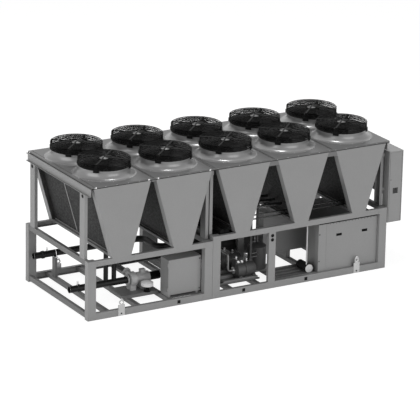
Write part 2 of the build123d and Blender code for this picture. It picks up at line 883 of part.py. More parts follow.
with BuildPart() as cabinet_brackets:
    for floor in bracket_floors:
        with BuildSketch(Plane.XY.offset(floor)):
            with Locations([(bracket_x, y) for y in upper_post_y]):
                Rectangle(bracket_reach, upper_post_depth)
            with Locations((cabinet_x, cabinet_front - cabinet_joint / 2)):
                Rectangle(cabinet_depth / 2, cabinet_joint)
        extrude(amount=bracket_height)
save(cabinet_brackets.part, "cabinet_brackets")

# Water pipes with grooved ends. The inlet runs to the pump, the outlet comes from the evaporator.
inlet_y = y_front + inlet_setback
outlet_y = y_back - outlet_setback
inlet_z = inlet_height
outlet_z = outlet_height
shell_x = x_seam + shell_offset
shell_y = y_front + shell_setback
outlet_corner_x = x_left + outlet_run
outlet_inner_y = shell_y + outlet_head_offset

with BuildPart() as water_pipes:
    with BuildSketch(Plane(origin=(x_left, inlet_y, inlet_z), z_dir=(1, 0, 0))):
        Circle(pipe_radius)
        Circle(pipe_bore_radius, mode=Mode.SUBTRACT)
    extrude(amount=inlet_length)
    with BuildLine() as outlet_route:
        FilletPolyline(
            (x_left, outlet_y, outlet_z),
            (outlet_corner_x, outlet_y, outlet_z),
            (outlet_corner_x, outlet_inner_y, outlet_z),
            (shell_x - seat_gap, outlet_inner_y, outlet_z),
            radius=outlet_bend,
        )
    with BuildSketch(Plane(origin=(x_left, outlet_y, outlet_z), z_dir=(1, 0, 0))):
        Circle(pipe_radius)
        Circle(pipe_bore_radius, mode=Mode.SUBTRACT)
    sweep(path=outlet_route.line)
    for y, z in ((inlet_y, inlet_z), (outlet_y, outlet_z)):
        with BuildSketch(Plane(origin=(x_left + groove_offset, y, z), z_dir=(1, 0, 0))):
            Circle(pipe_radius)
            Circle(pipe_radius - groove_depth, mode=Mode.SUBTRACT)
        extrude(amount=groove_width, mode=Mode.SUBTRACT)
save(water_pipes.part, "water_pipes")

# Stands under the water pipes
stand_x = floor_beam_x[0]

with BuildPart() as pipe_stands:
    for y, z in ((inlet_y, inlet_z), (outlet_y, outlet_z)):
        stand_height = z - pipe_radius - floor_level - seat_gap
        with BuildSketch(Plane.XY.offset(floor_level)):
            with Locations((stand_x, y)):
                Rectangle(stand_thickness, stand_width)
        extrude(amount=stand_height)
save(pipe_stands.part, "pipe_stands")

# Circulating pump on its bed
pump_y = inlet_y
pump_base = floor_level + bed_height

with BuildPart() as pump_bed:
    with BuildSketch(Plane.XY.offset(floor_level)):
        with Locations((x_left + bed_offset, y_front + bed_setback)):
            Rectangle(bed_length, bed_width)
    extrude(amount=bed_height)
save(pump_bed.part, "pump_bed")

# Pump casing: inlet flange, neck, volute and motor adapter on one axis, and a discharge nozzle to the back
pump_start = x_left + inlet_length + seat_gap
neck_end = pump_flange_sheet + pump_neck_length
volute_end = neck_end + volute_width
pump_length = volute_end + adapter_length
pump_axis = Axis((pump_start, pump_y, inlet_z), (1, 0, 0))
discharge_x = pump_start + neck_end + volute_width / 2
discharge_z = inlet_z + discharge_rise
discharge_end_y = pump_y + discharge_reach

with BuildPart() as pump:
    with BuildSketch(Plane(origin=(pump_start, pump_y, inlet_z), x_dir=(1, 0, 0), z_dir=(0, -1, 0))):
        with BuildLine():
            Polyline(
                (0, 0),
                (0, pump_flange_radius),
                (pump_flange_sheet, pump_flange_radius),
                (pump_flange_sheet, pump_neck_radius),
                (neck_end, pump_neck_radius),
                (neck_end, volute_radius),
                (volute_end, volute_radius),
                (volute_end, adapter_radius),
                (pump_length, adapter_radius),
                (pump_length, 0),
                close=True,
            )
        make_face()
    revolve(axis=pump_axis)
    with BuildSketch(Plane(origin=(discharge_x, pump_y, discharge_z), x_dir=(1, 0, 0), z_dir=(0, 1, 0))):
        Circle(discharge_radius)
    extrude(amount=discharge_reach)
    with BuildSketch(Plane(origin=(discharge_x, discharge_end_y, discharge_z), x_dir=(1, 0, 0), z_dir=(0, 1, 0))):
        Circle(discharge_flange_radius)
    extrude(amount=-discharge_flange_sheet)
    with BuildSketch(Plane.XY.offset(pump_base)):
        with Locations((discharge_x, pump_y)):
            Rectangle(pump_foot_length, pump_foot_width)
    extrude(amount=inlet_z - pump_base)
save(pump.part, "pump")

# Pump motor: a ribbed body on a foot, and a fan cover behind it
motor_start = pump_start + pump_length + seat_gap
motor_plane = Plane(origin=(motor_start, pump_y, inlet_z), x_dir=(0, 1, 0), z_dir=(1, 0, 0))
rib_middle = motor_core_radius + motor_rib_height / 2 - motor_rib_sink
terminal_box_x = motor_start + pump_motor_length / 2

with BuildPart() as pump_motor:
    with BuildSketch(motor_plane):
        Circle(motor_core_radius)
        with PolarLocations(rib_middle, motor_rib_count):
            Rectangle(motor_rib_height, motor_rib_sheet)
    extrude(amount=pump_motor_length)
    with BuildSketch(Plane.XY.offset(pump_base)):
        with Locations((terminal_box_x, pump_y)):
            Rectangle(pump_foot_length, pump_foot_width)
    extrude(amount=inlet_z - pump_base)
    with BuildSketch(Plane.XY.offset(inlet_z)):
        with Locations((terminal_box_x, pump_y)):
            Rectangle(terminal_box_length, terminal_box_width)
    extrude(amount=motor_core_radius + terminal_box_rise)
save(pump_motor.part, "pump_motor")

with BuildPart() as pump_motor_cover:
    with BuildSketch(motor_plane.offset(pump_motor_length + seat_gap)):
        Circle(motor_cover_radius)
    extrude(amount=motor_cover_length)
save(pump_motor_cover.part, "pump_motor_cover")

# Domed vessel on a stand on the bed, in front of the motor
vessel_x = x_left + vessel_offset
vessel_foot = pump_base + vessel_stand_height
vessel_shoulder = vessel_foot + vessel_wall_height
vessel_top = vessel_shoulder + vessel_dome_height
with BuildPart() as pump_vessel:
    with BuildSketch(Plane.XZ.offset(-y_front - vessel_setback)):
        with BuildLine():
            Polyline(
                (vessel_x, vessel_top),
                (vessel_x, pump_base),
                (vessel_x + vessel_stand_radius, pump_base),
                (vessel_x + vessel_stand_radius, vessel_foot),
                (vessel_x + vessel_radius, vessel_foot),
                (vessel_x + vessel_radius, vessel_shoulder),
            )
            RadiusArc(
                (vessel_x + vessel_radius, vessel_shoulder),
                (vessel_x, vessel_top),
                -dome_radius(vessel_radius, vessel_dome_height),
            )
        make_face()
    revolve(axis=Axis((vessel_x, y_front + vessel_setback, 0), (0, 0, 1)))
save(pump_vessel.part, "pump_vessel")

# Pump pipes: the discharge runs to the evaporator, and a bypass loop stands on the inlet pipe
discharge_inner_y = shell_y - discharge_head_offset
bypass_x = x_left + bypass_offset
bypass_foot = inlet_z + pipe_radius + seat_gap

with BuildPart() as pump_pipes:
    with BuildLine() as discharge_route:
        FilletPolyline(
            (discharge_x, discharge_end_y + seat_gap, discharge_z),
            (discharge_x, discharge_inner_y, discharge_z),
            (shell_x - seat_gap, discharge_inner_y, discharge_z),
            radius=discharge_bend,
        )
    with BuildSketch(
        Plane(origin=(discharge_x, discharge_end_y + seat_gap, discharge_z), x_dir=(1, 0, 0), z_dir=(0, 1, 0))
    ):
        Circle(discharge_radius)
    sweep(path=discharge_route.line)
    with BuildLine() as bypass_route:
        FilletPolyline(
            (bypass_x, inlet_y, bypass_foot),
            (bypass_x, inlet_y, bypass_top),
            (bypass_x + bypass_spacing, inlet_y, bypass_top),
            (bypass_x + bypass_spacing, inlet_y, bypass_foot),
            radius=bypass_spacing / 2 - seat_gap,
        )
    with BuildSketch(Plane.XY.offset(bypass_foot)):
        with Locations((bypass_x, inlet_y)):
            Circle(bypass_radius)
    sweep(path=bypass_route.line)
save(pump_pipes.part, "pump_pipes")

# Evaporator: a shell with flanged heads, on two saddles
shell_z = floor_level + shell_lift + shell_radius
shell_axis = Axis((shell_x, shell_y, shell_z), (1, 0, 0))
flange_end = shell_head_length + shell_flange_sheet

with BuildPart() as evaporator:
    with BuildSketch(Plane(origin=(shell_x, shell_y, shell_z), x_dir=(1, 0, 0), z_dir=(0, -1, 0))):
        with BuildLine():
            Polyline(
                (0, 0),
                (0, shell_head_radius),
                (shell_head_length, shell_head_radius),
                (shell_head_length, shell_flange_radius),
                (flange_end, shell_flange_radius),
                (flange_end, shell_radius),
                (shell_length - flange_end, shell_radius),
                (shell_length - flange_end, shell_flange_radius),
                (shell_length - shell_head_length, shell_flange_radius),
                (shell_length - shell_head_length, shell_head_radius),
                (shell_length, shell_head_radius),
                (shell_length, 0),
                close=True,
            )
        make_face()
    revolve(axis=shell_axis)
save(evaporator.part, "evaporator")

with BuildPart() as evaporator_saddles:
    for x in (floor_beam_x[4], floor_beam_x[5]):
        with BuildSketch(Plane.XY.offset(floor_level)):
            with Locations((x, shell_y)):
                Rectangle(floor_beam_width, saddle_width)
        extrude(amount=shell_lift + saddle_rise)
    with BuildSketch(Plane(origin=(shell_x, shell_y, shell_z), z_dir=(1, 0, 0))):
        Circle(shell_radius + seat_gap)
    extrude(amount=shell_length, mode=Mode.SUBTRACT)
save(evaporator_saddles.part, "evaporator_saddles")

# Rails along the floor beams carry the compressors and the receiver, and the middle one an inner post
compressor_x = x_seam + compressor_offset
compressor_y = [y_front + compressor_setback + i * compressor_spacing for i in range(2)]
receiver_x = x_seam + receiver_offset
receiver_y = y_front + receiver_setback
rail_top = floor_level + machine_rail_height
compressor_z = rail_top + compressor_lift
foot_rail_reach = (compressor_foot_width - machine_rail_width) / 2
compressor_rail_y = [y + side * foot_rail_reach for y in compressor_y for side in (-1, 1)]
receiver_rail_y = [receiver_y + side * receiver_rail_spacing / 2 for side in (-1, 1)]
inner_post_y = y_front + inner_post_setback
beam_b1 = floor_beam_x[4] - machine_rail_overhang
beam_b2 = floor_beam_x[5] - machine_rail_overhang
compressor_rail_x, compressor_rail_length = span(beam_b1, compressor_x + compressor_length)
receiver_rail_x, receiver_rail_length = span(beam_b2, floor_beam_x[6] + machine_rail_overhang)

with BuildPart() as machine_rails:
    with BuildSketch(Plane.XY.offset(floor_level)):
        with Locations([(compressor_rail_x, y) for y in compressor_rail_y]):
            Rectangle(compressor_rail_length, machine_rail_width)
        with Locations([(receiver_rail_x, y) for y in receiver_rail_y]):
            Rectangle(receiver_rail_length, machine_rail_width)
        with Locations((receiver_rail_x, inner_post_y)):
            Rectangle(receiver_rail_length, inner_post_depth)
    extrude(amount=machine_rail_height)
    with BuildSketch(Plane.XY.offset(rail_top)):
        with Locations((bay_post_x, inner_post_y)):
            Rectangle(bay_post_width, inner_post_depth)
    extrude(amount=inner_post_height)
save(machine_rails.part, "machine_rails")

# Compressors: a round body with tapered ends, a collar, feet, a terminal box and a discharge port
compressor_foot_x = [
    compressor_x + compressor_foot_margin + compressor_foot_length / 2,
    compressor_x + compressor_length - compressor_foot_margin - compressor_foot_length / 2,
]
port_x = compressor_x + port_offset
port_top = compressor_z + port_rise
collar_start = (compressor_length - compressor_collar_length) / 2
collar_end = collar_start + compressor_collar_length

with BuildPart() as compressors:
    for y in compressor_y:
        with BuildSketch(Plane(origin=(compressor_x, y, compressor_z), x_dir=(1, 0, 0), z_dir=(0, -1, 0))):
            with BuildLine():
                Polyline(
                    (0, 0),
                    (0, compressor_end_radius),
                    (compressor_end_length, compressor_radius),
                    (collar_start, compressor_radius),
                    (collar_start, compressor_collar_radius),
                    (collar_end, compressor_collar_radius),
                    (collar_end, compressor_radius),
                    (compressor_length - compressor_end_length, compressor_radius),
                    (compressor_length, compressor_end_radius),
                    (compressor_length, 0),
                    close=True,
                )
            make_face()
        revolve(axis=Axis((compressor_x, y, compressor_z), (1, 0, 0)))
        with BuildSketch(Plane.XY.offset(rail_top)):
            with Locations([(x, y) for x in compressor_foot_x]):
                Rectangle(compressor_foot_length, compressor_foot_width)
        extrude(amount=compressor_foot_height)
        with BuildSketch(Plane.XY.offset(compressor_z)):
            with Locations((compressor_x + compressor_box_offset, y)):
                Rectangle(compressor_box_length, compressor_box_width)
        extrude(amount=compressor_box_rise)
        with BuildSketch(Plane.XY.offset(compressor_z)):
            with Locations((port_x, y)):
                Circle(port_radius)
        extrude(amount=port_rise)
save(compressors.part, "compressors")

# Receiver: an upright vessel with a domed top
receiver_shoulder = rail_top + receiver_wall_height
receiver_top = receiver_shoulder + receiver_dome_height

with BuildPart() as receiver:
    with BuildSketch(Plane.XZ.offset(-receiver_y)):
        with BuildLine():
            Polyline(
                (receiver_x, receiver_top),
                (receiver_x, rail_top),
                (receiver_x + receiver_radius, rail_top),
                (receiver_x + receiver_radius, receiver_shoulder),
            )
            RadiusArc(
                (receiver_x + receiver_radius, receiver_shoulder),
                (receiver_x, receiver_top),
                -dome_radius(receiver_radius, receiver_dome_height),
            )
        make_face()
    revolve(axis=Axis((receiver_x, receiver_y, 0), (0, 0, 1)))
save(receiver.part, "receiver")

# Refrigerant pipes: risers from the compressors and the receiver to the near coil of the fourth V,
# and straight lines between neighbouring coils of section B
riser_target = module_count_a + 1
riser_end_x = module_x[riser_target] - coil_half(riser_target, riser_height + riser_radius) - seat_gap
riser_starts = [(port_x, y, port_top) for y in compressor_y] + [(receiver_x, receiver_y, receiver_top)]

coil_pipe_y = y_front + coil_pipe_setback

with BuildPart() as refrigerant_pipes:
    for x, y, z in riser_starts:
        with BuildLine() as riser_route:
            FilletPolyline(
                (x, y, z + seat_gap),
                (x, y, riser_height),
                (riser_end_x, y, riser_height),
                radius=riser_bend,
            )
        with BuildSketch(Plane.XY.offset(z + seat_gap)):
            with Locations((x, y)):
                Circle(riser_radius)
        sweep(path=riser_route.line)
    for index in range(module_count_a, module_total - 1):
        for row in range(coil_pipe_count):
            z = base_height_b + coil_pipe_lift + row * coil_pipe_spacing
            start = module_x[index] + coil_half(index, z + coil_pipe_radius) + seat_gap
            end = module_x[index + 1] - coil_half(index + 1, z + coil_pipe_radius) - seat_gap
            with BuildSketch(Plane(origin=(start, coil_pipe_y, z), z_dir=(1, 0, 0))):
                Circle(coil_pipe_radius)
            extrude(amount=end - start)
save(refrigerant_pipes.part, "refrigerant_pipes")

# Inner cabinet behind the second bay, on its feet
inner_cabinet_x = x_seam + inner_cabinet_offset + inner_cabinet_length / 2
inner_cabinet_y = y_front + inner_cabinet_setback + inner_cabinet_depth / 2
equipment_top = base_height_b - top_rail_height - equipment_drop

with BuildPart() as inner_cabinet:
    with BuildSketch(Plane.XY.offset(inner_cabinet_floor)):
        with Locations((inner_cabinet_x, inner_cabinet_y)):
            Rectangle(inner_cabinet_length, inner_cabinet_depth)
    extrude(amount=equipment_top - inner_cabinet_floor)
    with BuildSketch(Plane.XY.offset(floor_level)):
        with Locations([(x, inner_cabinet_y) for x in floor_beam_x[7:]]):
            Rectangle(floor_beam_width, inner_cabinet_depth)
    extrude(amount=inner_cabinet_floor - floor_level)
save(inner_cabinet.part, "inner_cabinet")

# Ridged floor tray in the second bay
floor_tray_x = x_seam + floor_tray_offset
floor_tray_front = y_front + floor_tray_setback
floor_tray_y = floor_tray_front + floor_tray_width / 2
floor_tray_lip_y = [floor_tray_front + floor_tray_sheet / 2, floor_tray_front + floor_tray_width - floor_tray_sheet / 2]
ridge_pitch = floor_tray_width / (floor_tray_ridge_count + 1)

with BuildPart() as floor_tray:
    with BuildSketch(Plane(origin=(floor_tray_x, 0, floor_level), x_dir=(0, 1, 0), z_dir=(1, 0, 0))):
        with Locations((floor_tray_y, floor_tray_sheet / 2)):
            Rectangle(floor_tray_width, floor_tray_sheet)
        with Locations([(y, floor_tray_lip / 2) for y in floor_tray_lip_y]):
            Rectangle(floor_tray_sheet, floor_tray_lip)
        with Locations((floor_tray_y, floor_tray_ridge_height / 2)):
            with GridLocations(ridge_pitch, 0, floor_tray_ridge_count, 1):
                Rectangle(floor_tray_ridge, floor_tray_ridge_height)
    extrude(amount=floor_tray_length)
save(floor_tray.part, "floor_tray")

# Closed equipment box in the second bay, with two lift-off panels and recessed handles
equipment_left = x_seam + equipment_offset
equipment_right = x_right - post_width - equipment_gap
equipment_front = y_front + rail_thickness + equipment_gap
equipment_body_front = equipment_front + equipment_panel_sheet + seat_gap
equipment_body_depth = equipment_depth - equipment_panel_sheet - seat_gap
equipment_middle, equipment_width = span(equipment_left, equipment_right)

with BuildPart() as equipment_box:
    with BuildSketch(Plane.XY.offset(floor_level)):
        with Locations((equipment_middle, equipment_body_front + equipment_body_depth / 2)):
            Rectangle(equipment_width, equipment_body_depth)
    extrude(amount=equipment_top - floor_level)
save(equipment_box.part, "equipment_box")

panel_z, panel_rise = span(floor_level + equipment_panel_margin, equipment_top - equipment_panel_margin)
narrow_x, narrow_width = span(equipment_left, equipment_left + narrow_panel_width)
wide_x, wide_width = span(equipment_left + narrow_panel_width + equipment_panel_joint, equipment_right)

with BuildPart() as equipment_panels:
    with BuildSketch(Plane.XZ.offset(-equipment_front)):
        with Locations((narrow_x, panel_z)):
            Rectangle(narrow_width, panel_rise)
        with Locations((wide_x, panel_z)):
            Rectangle(wide_width, panel_rise)
    extrude(amount=-equipment_panel_sheet)
    with BuildSketch(Plane.XZ.offset(-equipment_front)):
        with Locations((wide_x, handle_level)):
            with GridLocations(handle_spacing, 0, 2, 1):
                Rectangle(handle_pocket_width, handle_pocket_height)
    extrude(amount=-handle_pocket_depth, mode=Mode.SUBTRACT)
save(equipment_panels.part, "equipment_panels")

# Cover over the equipment box and the inner cabinet, folded down at its free edges
cover_back = inner_cabinet_y + inner_cabinet_depth / 2
cover_y, cover_width = span(equipment_front, cover_back)
cover_side_y, cover_side_width = span(equipment_front + equipment_depth + seat_gap, cover_back - inner_cabinet_depth - seat_gap)

with BuildPart() as equipment_cover:
    with BuildSketch(Plane.XY.offset(equipment_top + seat_gap)):
        with Locations((equipment_middle, cover_y)):
            Rectangle(equipment_width, cover_width)
    extrude(amount=cover_sheet)
    with BuildSketch(Plane.XY.offset(equipment_top + seat_gap)):
        with Locations((equipment_left + cover_sheet / 2, cover_side_y)):
            Rectangle(cover_sheet, cover_side_width)
    extrude(amount=-cover_lip)
save(equipment_cover.part, "equipment_cover")

# Filter shell lying on the ridges of the floor tray, with a cap to the front
filter_x = x_seam + filter_offset
filter_y = y_front + filter_setback
filter_z = floor_level + floor_tray_ridge_height + seat_gap + filter_radius
filter_axis = Axis((filter_x, filter_y, filter_z), (0, 1, 0))

with BuildPart() as filter_shell:
    with BuildSketch(Plane.YZ.offset(filter_x)):
        with BuildLine():
            Polyline(
                (filter_y, filter_z),
                (filter_y, filter_z + filter_cap_radius),
                (filter_y + filter_cap_length, filter_z + filter_cap_radius),
                (filter_y + filter_cap_length, filter_z + filter_radius),
                (filter_y + filter_length, filter_z + filter_radius),
                (filter_y + filter_length, filter_z),
                close=True,
            )
        make_face()
    revolve(axis=filter_axis)
save(filter_shell.part, "filter_shell")

# Lifting lugs on the bottom rails: a plate with a tie hole, and an eye above the rail
lug_x = [x_left + lug_offset_a, x_right - lug_offset_b]

with BuildPart() as lifting_lugs:
    for y, out in ((y_front, -1), (y_back, 1)):
        with BuildSketch(Plane.XZ.offset(-y)):
            with Locations([(x, lug_height / 2 + lug_lift) for x in lug_x]):
                Rectangle(lug_width, lug_height)
            with Locations([(x, lug_eye_level) for x in lug_x]):
                Circle(lug_eye_radius)
                Circle(lug_eye_hole_radius, mode=Mode.SUBTRACT)
            with Locations([(x, lug_hole_level) for x in lug_x]):
                Circle(lug_hole_radius, mode=Mode.SUBTRACT)
        extrude(amount=-out * lug_sheet)
save(lifting_lugs.part, "lifting_lugs")
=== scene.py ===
"""Looks of the air cooled water chiller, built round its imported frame. Metres, +Z up, -Y is the front."""
import bmesh
import bpy
import json
import math
from mathutils import Matrix, Vector


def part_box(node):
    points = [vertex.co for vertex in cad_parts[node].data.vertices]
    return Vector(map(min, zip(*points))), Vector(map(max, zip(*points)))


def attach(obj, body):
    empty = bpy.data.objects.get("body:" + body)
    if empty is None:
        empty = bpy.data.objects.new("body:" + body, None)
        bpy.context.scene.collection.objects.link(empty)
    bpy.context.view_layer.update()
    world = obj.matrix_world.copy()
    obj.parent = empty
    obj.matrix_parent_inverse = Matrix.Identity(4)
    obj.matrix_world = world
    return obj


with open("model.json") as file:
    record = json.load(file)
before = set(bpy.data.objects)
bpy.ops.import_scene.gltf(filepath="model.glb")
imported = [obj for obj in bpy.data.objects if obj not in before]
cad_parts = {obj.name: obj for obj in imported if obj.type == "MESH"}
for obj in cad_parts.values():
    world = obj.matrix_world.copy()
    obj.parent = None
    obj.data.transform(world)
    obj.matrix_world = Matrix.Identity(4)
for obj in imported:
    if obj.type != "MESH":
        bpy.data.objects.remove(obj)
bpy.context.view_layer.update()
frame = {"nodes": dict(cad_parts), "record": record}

# Places read from the frame. A long side is its y and the direction that points out of it.
post_low, post_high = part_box("base_posts")
deck_low, deck_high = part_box("deck_plates")
guard_low, guard_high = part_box("fan_guards")
x_left, x_right = post_low.x, post_high.x
y_front, y_back = post_low.y, post_high.y
long_sides = ((y_front, -1), (y_back, 1))
deck_top, deck_under = deck_high.z, deck_low.z
top_rail_depth = 0.096
left_rail_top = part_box("base_top_rails")[0].z + top_rail_depth
right_rail_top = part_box("base_top_rails")[1].z
fan_centres = [Vector(joint["pos_m"]) for joint in frame["record"]["behaviour"]["joints"]
               if joint["name"].endswith("_spin")]
module_centres = [fan_centres[2 * i].x for i in range(5)]
pitch = module_centres[1] - module_centres[0]
seam = (module_centres[1] + module_centres[2]) / 2


# Materials
def new_material(name):
    """Return an empty material, its node tree and its main shader."""
    material = bpy.data.materials.new(name)
    material.use_nodes = True
    tree = material.node_tree
    return material, tree, tree.nodes["Principled BSDF"]


def add_node(tree, kind, **inputs):
    """Add a node and set its inputs by name, with underscores for spaces."""
    node = tree.nodes.new(kind)
    for key, value in inputs.items():
        node.inputs[key.replace("_", " ")].default_value = value
    return node


def noise(tree, scale, detail=4.0, roughness=0.55):
    """Return a noise texture read in object coordinates."""
    place = tree.nodes.new("ShaderNodeTexCoord")
    node = add_node(tree, "ShaderNodeTexNoise", Scale=scale, Detail=detail, Roughness=roughness)
    tree.links.new(place.outputs["Object"], node.inputs["Vector"])
    return node


def wave(tree, vector, direction, **inputs):
    """Return a texture of bands along X, Y or Z of a vector."""
    node = add_node(tree, "ShaderNodeTexWave", **inputs)
    node.bands_direction = direction
    tree.links.new(vector, node.inputs["Vector"])
    return node


def grey_ramp(tree, source, dark, light, low=0.35, high=0.65):
    """Turn a 0 to 1 value into greys between dark and light."""
    ramp = tree.nodes.new("ShaderNodeValToRGB")
    for element, position, grey in zip(ramp.color_ramp.elements, (low, high), (dark, light)):
        element.position = position
        element.color = (grey, grey, grey, 1.0)
    tree.links.new(source, ramp.inputs["Fac"])
    return ramp


def bump(tree, shader, source, strength, distance):
    """Drive the shader's normal from a height value."""
    node = add_node(tree, "ShaderNodeBump", Strength=strength, Distance=distance)
    tree.links.new(source, node.inputs["Height"])
    tree.links.new(node.outputs["Normal"], shader.inputs["Normal"])


def multiply(tree, first, second):
    """Return the product of two colours."""
    mix = tree.nodes.new("ShaderNodeMixRGB")
    mix.blend_type = "MULTIPLY"
    mix.inputs["Fac"].default_value = 1.0
    tree.links.new(first, mix.inputs["Color1"])
    tree.links.new(second, mix.inputs["Color2"])
    return mix


def paint(name, tone, roughness, spread=0.025, peel_depth=0.12, metallic=0.0, dust=0.04):
    """Powder coat: a nearly even grey with fine orange peel and a little dust drift."""
    material, tree, shader = new_material(name)
    drift = noise(tree, scale=1.3, detail=6.0)
    ramp = grey_ramp(tree, drift.outputs["Fac"], tone * (1.0 - spread), tone * (1.0 + spread))
    specks = noise(tree, scale=42.0, detail=6.0, roughness=0.7)
    flecks = grey_ramp(tree, specks.outputs["Fac"], 1.0 - dust, 1.0, low=0.3, high=0.55)
    both = multiply(tree, ramp.outputs["Color"], flecks.outputs["Color"])
    tree.links.new(both.outputs["Color"], shader.inputs["Base Color"])
    peel = noise(tree, scale=260.0, detail=2.0)
    bump(tree, shader, peel.outputs["Fac"], strength=peel_depth, distance=0.0004)
    rough = grey_ramp(tree, drift.outputs["Fac"], roughness * 0.95, roughness * 1.05)
    tree.links.new(rough.outputs["Color"], shader.inputs["Roughness"])
    shader.inputs["Metallic"].default_value = metallic
    return material


def coil_face(name, tone):
    """Finned coil: fine fins over rows of tubes, a speckle where fins catch the light and a slanted hatch."""
    material, tree, shader = new_material(name)
    place = tree.nodes.new("ShaderNodeTexCoord").outputs["Object"]
    fins = wave(tree, place, "Y", Scale=85.0, Distortion=0.4, Detail=1.0)
    rows = wave(tree, place, "Z", Scale=12.5, Distortion=0.0)
    speckle = noise(tree, scale=30.0, detail=2.0, roughness=0.6)
    lit = grey_ramp(tree, speckle.outputs["Fac"], 0.35, 1.95, low=0.40, high=0.60)
    slant = add_node(tree, "ShaderNodeMapping", Rotation=(-0.9, 0.0, 0.0))
    tree.links.new(place, slant.inputs["Vector"])
    hatch = wave(tree, slant.outputs["Vector"], "Z", Scale=5.5, Distortion=1.0, Detail=2.0)
    worn = grey_ramp(tree, hatch.outputs["Fac"], 0.68, 1.36, low=0.1, high=0.9)
    stripes = grey_ramp(tree, fins.outputs["Fac"], tone * 0.6, tone * 1.5, low=0.1, high=0.9)
    both = multiply(tree, stripes.outputs["Color"], lit.outputs["Color"])
    all_three = multiply(tree, both.outputs["Color"], worn.outputs["Color"])
    tree.links.new(all_three.outputs["Color"], shader.inputs["Base Color"])
    shader.inputs["Roughness"].default_value = 0.65
    shader.inputs["Specular IOR Level"].default_value = 0.25
    bump(tree, shader, rows.outputs["Fac"], strength=0.35, distance=0.003)
    return material


def metal(name, tone, roughness, metallic=0.9):
    """Bare or plated metal with fine scratches and cloudy plating."""
    material, tree, shader = new_material(name)
    scratches = noise(tree, scale=140.0, detail=3.0)
    ramp = grey_ramp(tree, scratches.outputs["Fac"], tone * 0.85, tone * 1.1)
    tree.links.new(ramp.outputs["Color"], shader.inputs["Base Color"])
    shader.inputs["Metallic"].default_value = metallic
    cloud = noise(tree, scale=18.0)
    rough = grey_ramp(tree, cloud.outputs["Fac"], roughness * 0.8, roughness * 1.2)
    tree.links.new(rough.outputs["Color"], shader.inputs["Roughness"])
    bump(tree, shader, scratches.outputs["Fac"], strength=0.15, distance=0.0004)
    return material


def plastic(name, tone, roughness, specular=0.2):
    """Moulded plastic, lacquer or rubber with a fine grain."""
    material, tree, shader = new_material(name)
    cloud = noise(tree, scale=6.0)
    ramp = grey_ramp(tree, cloud.outputs["Fac"], tone * 0.85, tone * 1.2)
    tree.links.new(ramp.outputs["Color"], shader.inputs["Base Color"])
    shader.inputs["Roughness"].default_value = roughness
    shader.inputs["Specular IOR Level"].default_value = specular
    grain = noise(tree, scale=220.0, detail=2.0)
    bump(tree, shader, grain.outputs["Fac"], strength=0.2, distance=0.0005)
    return material


# Paints, plastics and metals take a tone, then a roughness
frame_paint = paint("frame_paint", 0.28, 0.42)
panel_paint = paint("panel_paint", 0.285, 0.40)
# Parts inside the frame take a darker copy of the frame paint: painted shade where they sit inside the unit
inner_shaded_paint = paint("inner_shaded_paint", 0.16, 0.5)
cabinet_paint = paint("cabinet_paint", 0.24, 0.5)
# The deck takes a darker copy of the frame paint: painted shade on the top of the unit
deck_shaded_paint = paint("deck_shaded_paint", 0.115, 0.40)
cowl_paint = paint("cowl_paint", 0.25, 0.25, peel_depth=0.01, metallic=0.2, dust=0.015)
coil_fins = coil_face("coil_fins", 0.0205)
fan_black = plastic("fan_black", 0.006, 0.5, specular=0.06)
wire_black = plastic("wire_black", 0.004, 0.6, specular=0.06)
blade_black = plastic("blade_black", 0.014, 0.4)
pipe_black = plastic("pipe_black", 0.008, 0.42)
tube_grey = metal("tube_grey", 0.22, 0.35, metallic=0.6)
tube_dark = plastic("tube_dark", 0.012, 0.2, specular=0.6)
lug_grey = metal("lug_grey", 0.50, 0.45, metallic=0.5)
white_paint = paint("white_paint", 0.85, 0.4, spread=0.02, dust=0.02)
cover_grey = paint("cover_grey", 0.040, 0.5, spread=0.1)
machine_grey = paint("machine_grey", 0.060, 0.5, spread=0.12, dust=0.2)
shell_black = plastic("shell_black", 0.014, 0.6)
motor_grey = paint("motor_grey", 0.46, 0.42, spread=0.05)
pale_paint = paint("pale_paint", 0.62, 0.4, spread=0.03)
zinc = metal("zinc", 0.75, 0.28)
cap_grey = metal("cap_grey", 0.20, 0.38, metallic=0.7)
# Black for real seals, grommets, glands, joints and insulation, and for the strips and blocks that paint shade
# in gaps and holes
seal_and_shade_black = plastic("seal_and_shade_black", 0.010, 0.7, specular=0.1)

# Finish of each material slot, and of the nodes that depart from their slot
slot_finish = {
    "frame": frame_paint,
    "panel": panel_paint,
    "coil": coil_fins,
    "cowl": cowl_paint,
    "fan": fan_black,
    "pipe": pipe_black,
    "tube": tube_grey,
    "machine": machine_grey,
    "motor": motor_grey,
    "pale": pale_paint,
    "steel": zinc,
}
node_finish = {
    "deck_plates": deck_shaded_paint,
    "evaporator": shell_black,
    "receiver": cover_grey,
    "refrigerant_pipes": tube_dark,
    "lifting_lugs": lug_grey,
    "control_box_hinges": panel_paint,
    "pump": motor_grey,
    "pump_vessel": white_paint,
    "floor_beams": inner_shaded_paint,
    "floor_tray": inner_shaded_paint,
    "inner_cabinet": cabinet_paint,
    "pump_bed": inner_shaded_paint,
    "v_trays": inner_shaded_paint,
    "end_rails": inner_shaded_paint,
    "evaporator_saddles": inner_shaded_paint,
    "pipe_stands": inner_shaded_paint,
    "panel_ties": inner_shaded_paint,
    # The equipment cover's lip shows in the gap above the panels, and its near-black grey paints the shade there
    "equipment_cover": cover_grey,
    "filter_shell": shell_black,
}
node_finish.update({name: blade_black for name in frame["nodes"] if name.startswith("fan_rotor_")})
for row in frame["record"]["subparts"]:
    node_mesh = frame["nodes"][row["node"]].data
    node_mesh.materials.clear()
    node_mesh.materials.append(node_finish.get(row["node"], slot_finish[row["material_slot"]]))


# Builders for the small pieces that dress the solids
fine_edge = 0.001
soft_edge = 0.002


def turns(count):
    """Return a full turn's angles in even steps."""
    return [math.tau * i / count for i in range(count)]


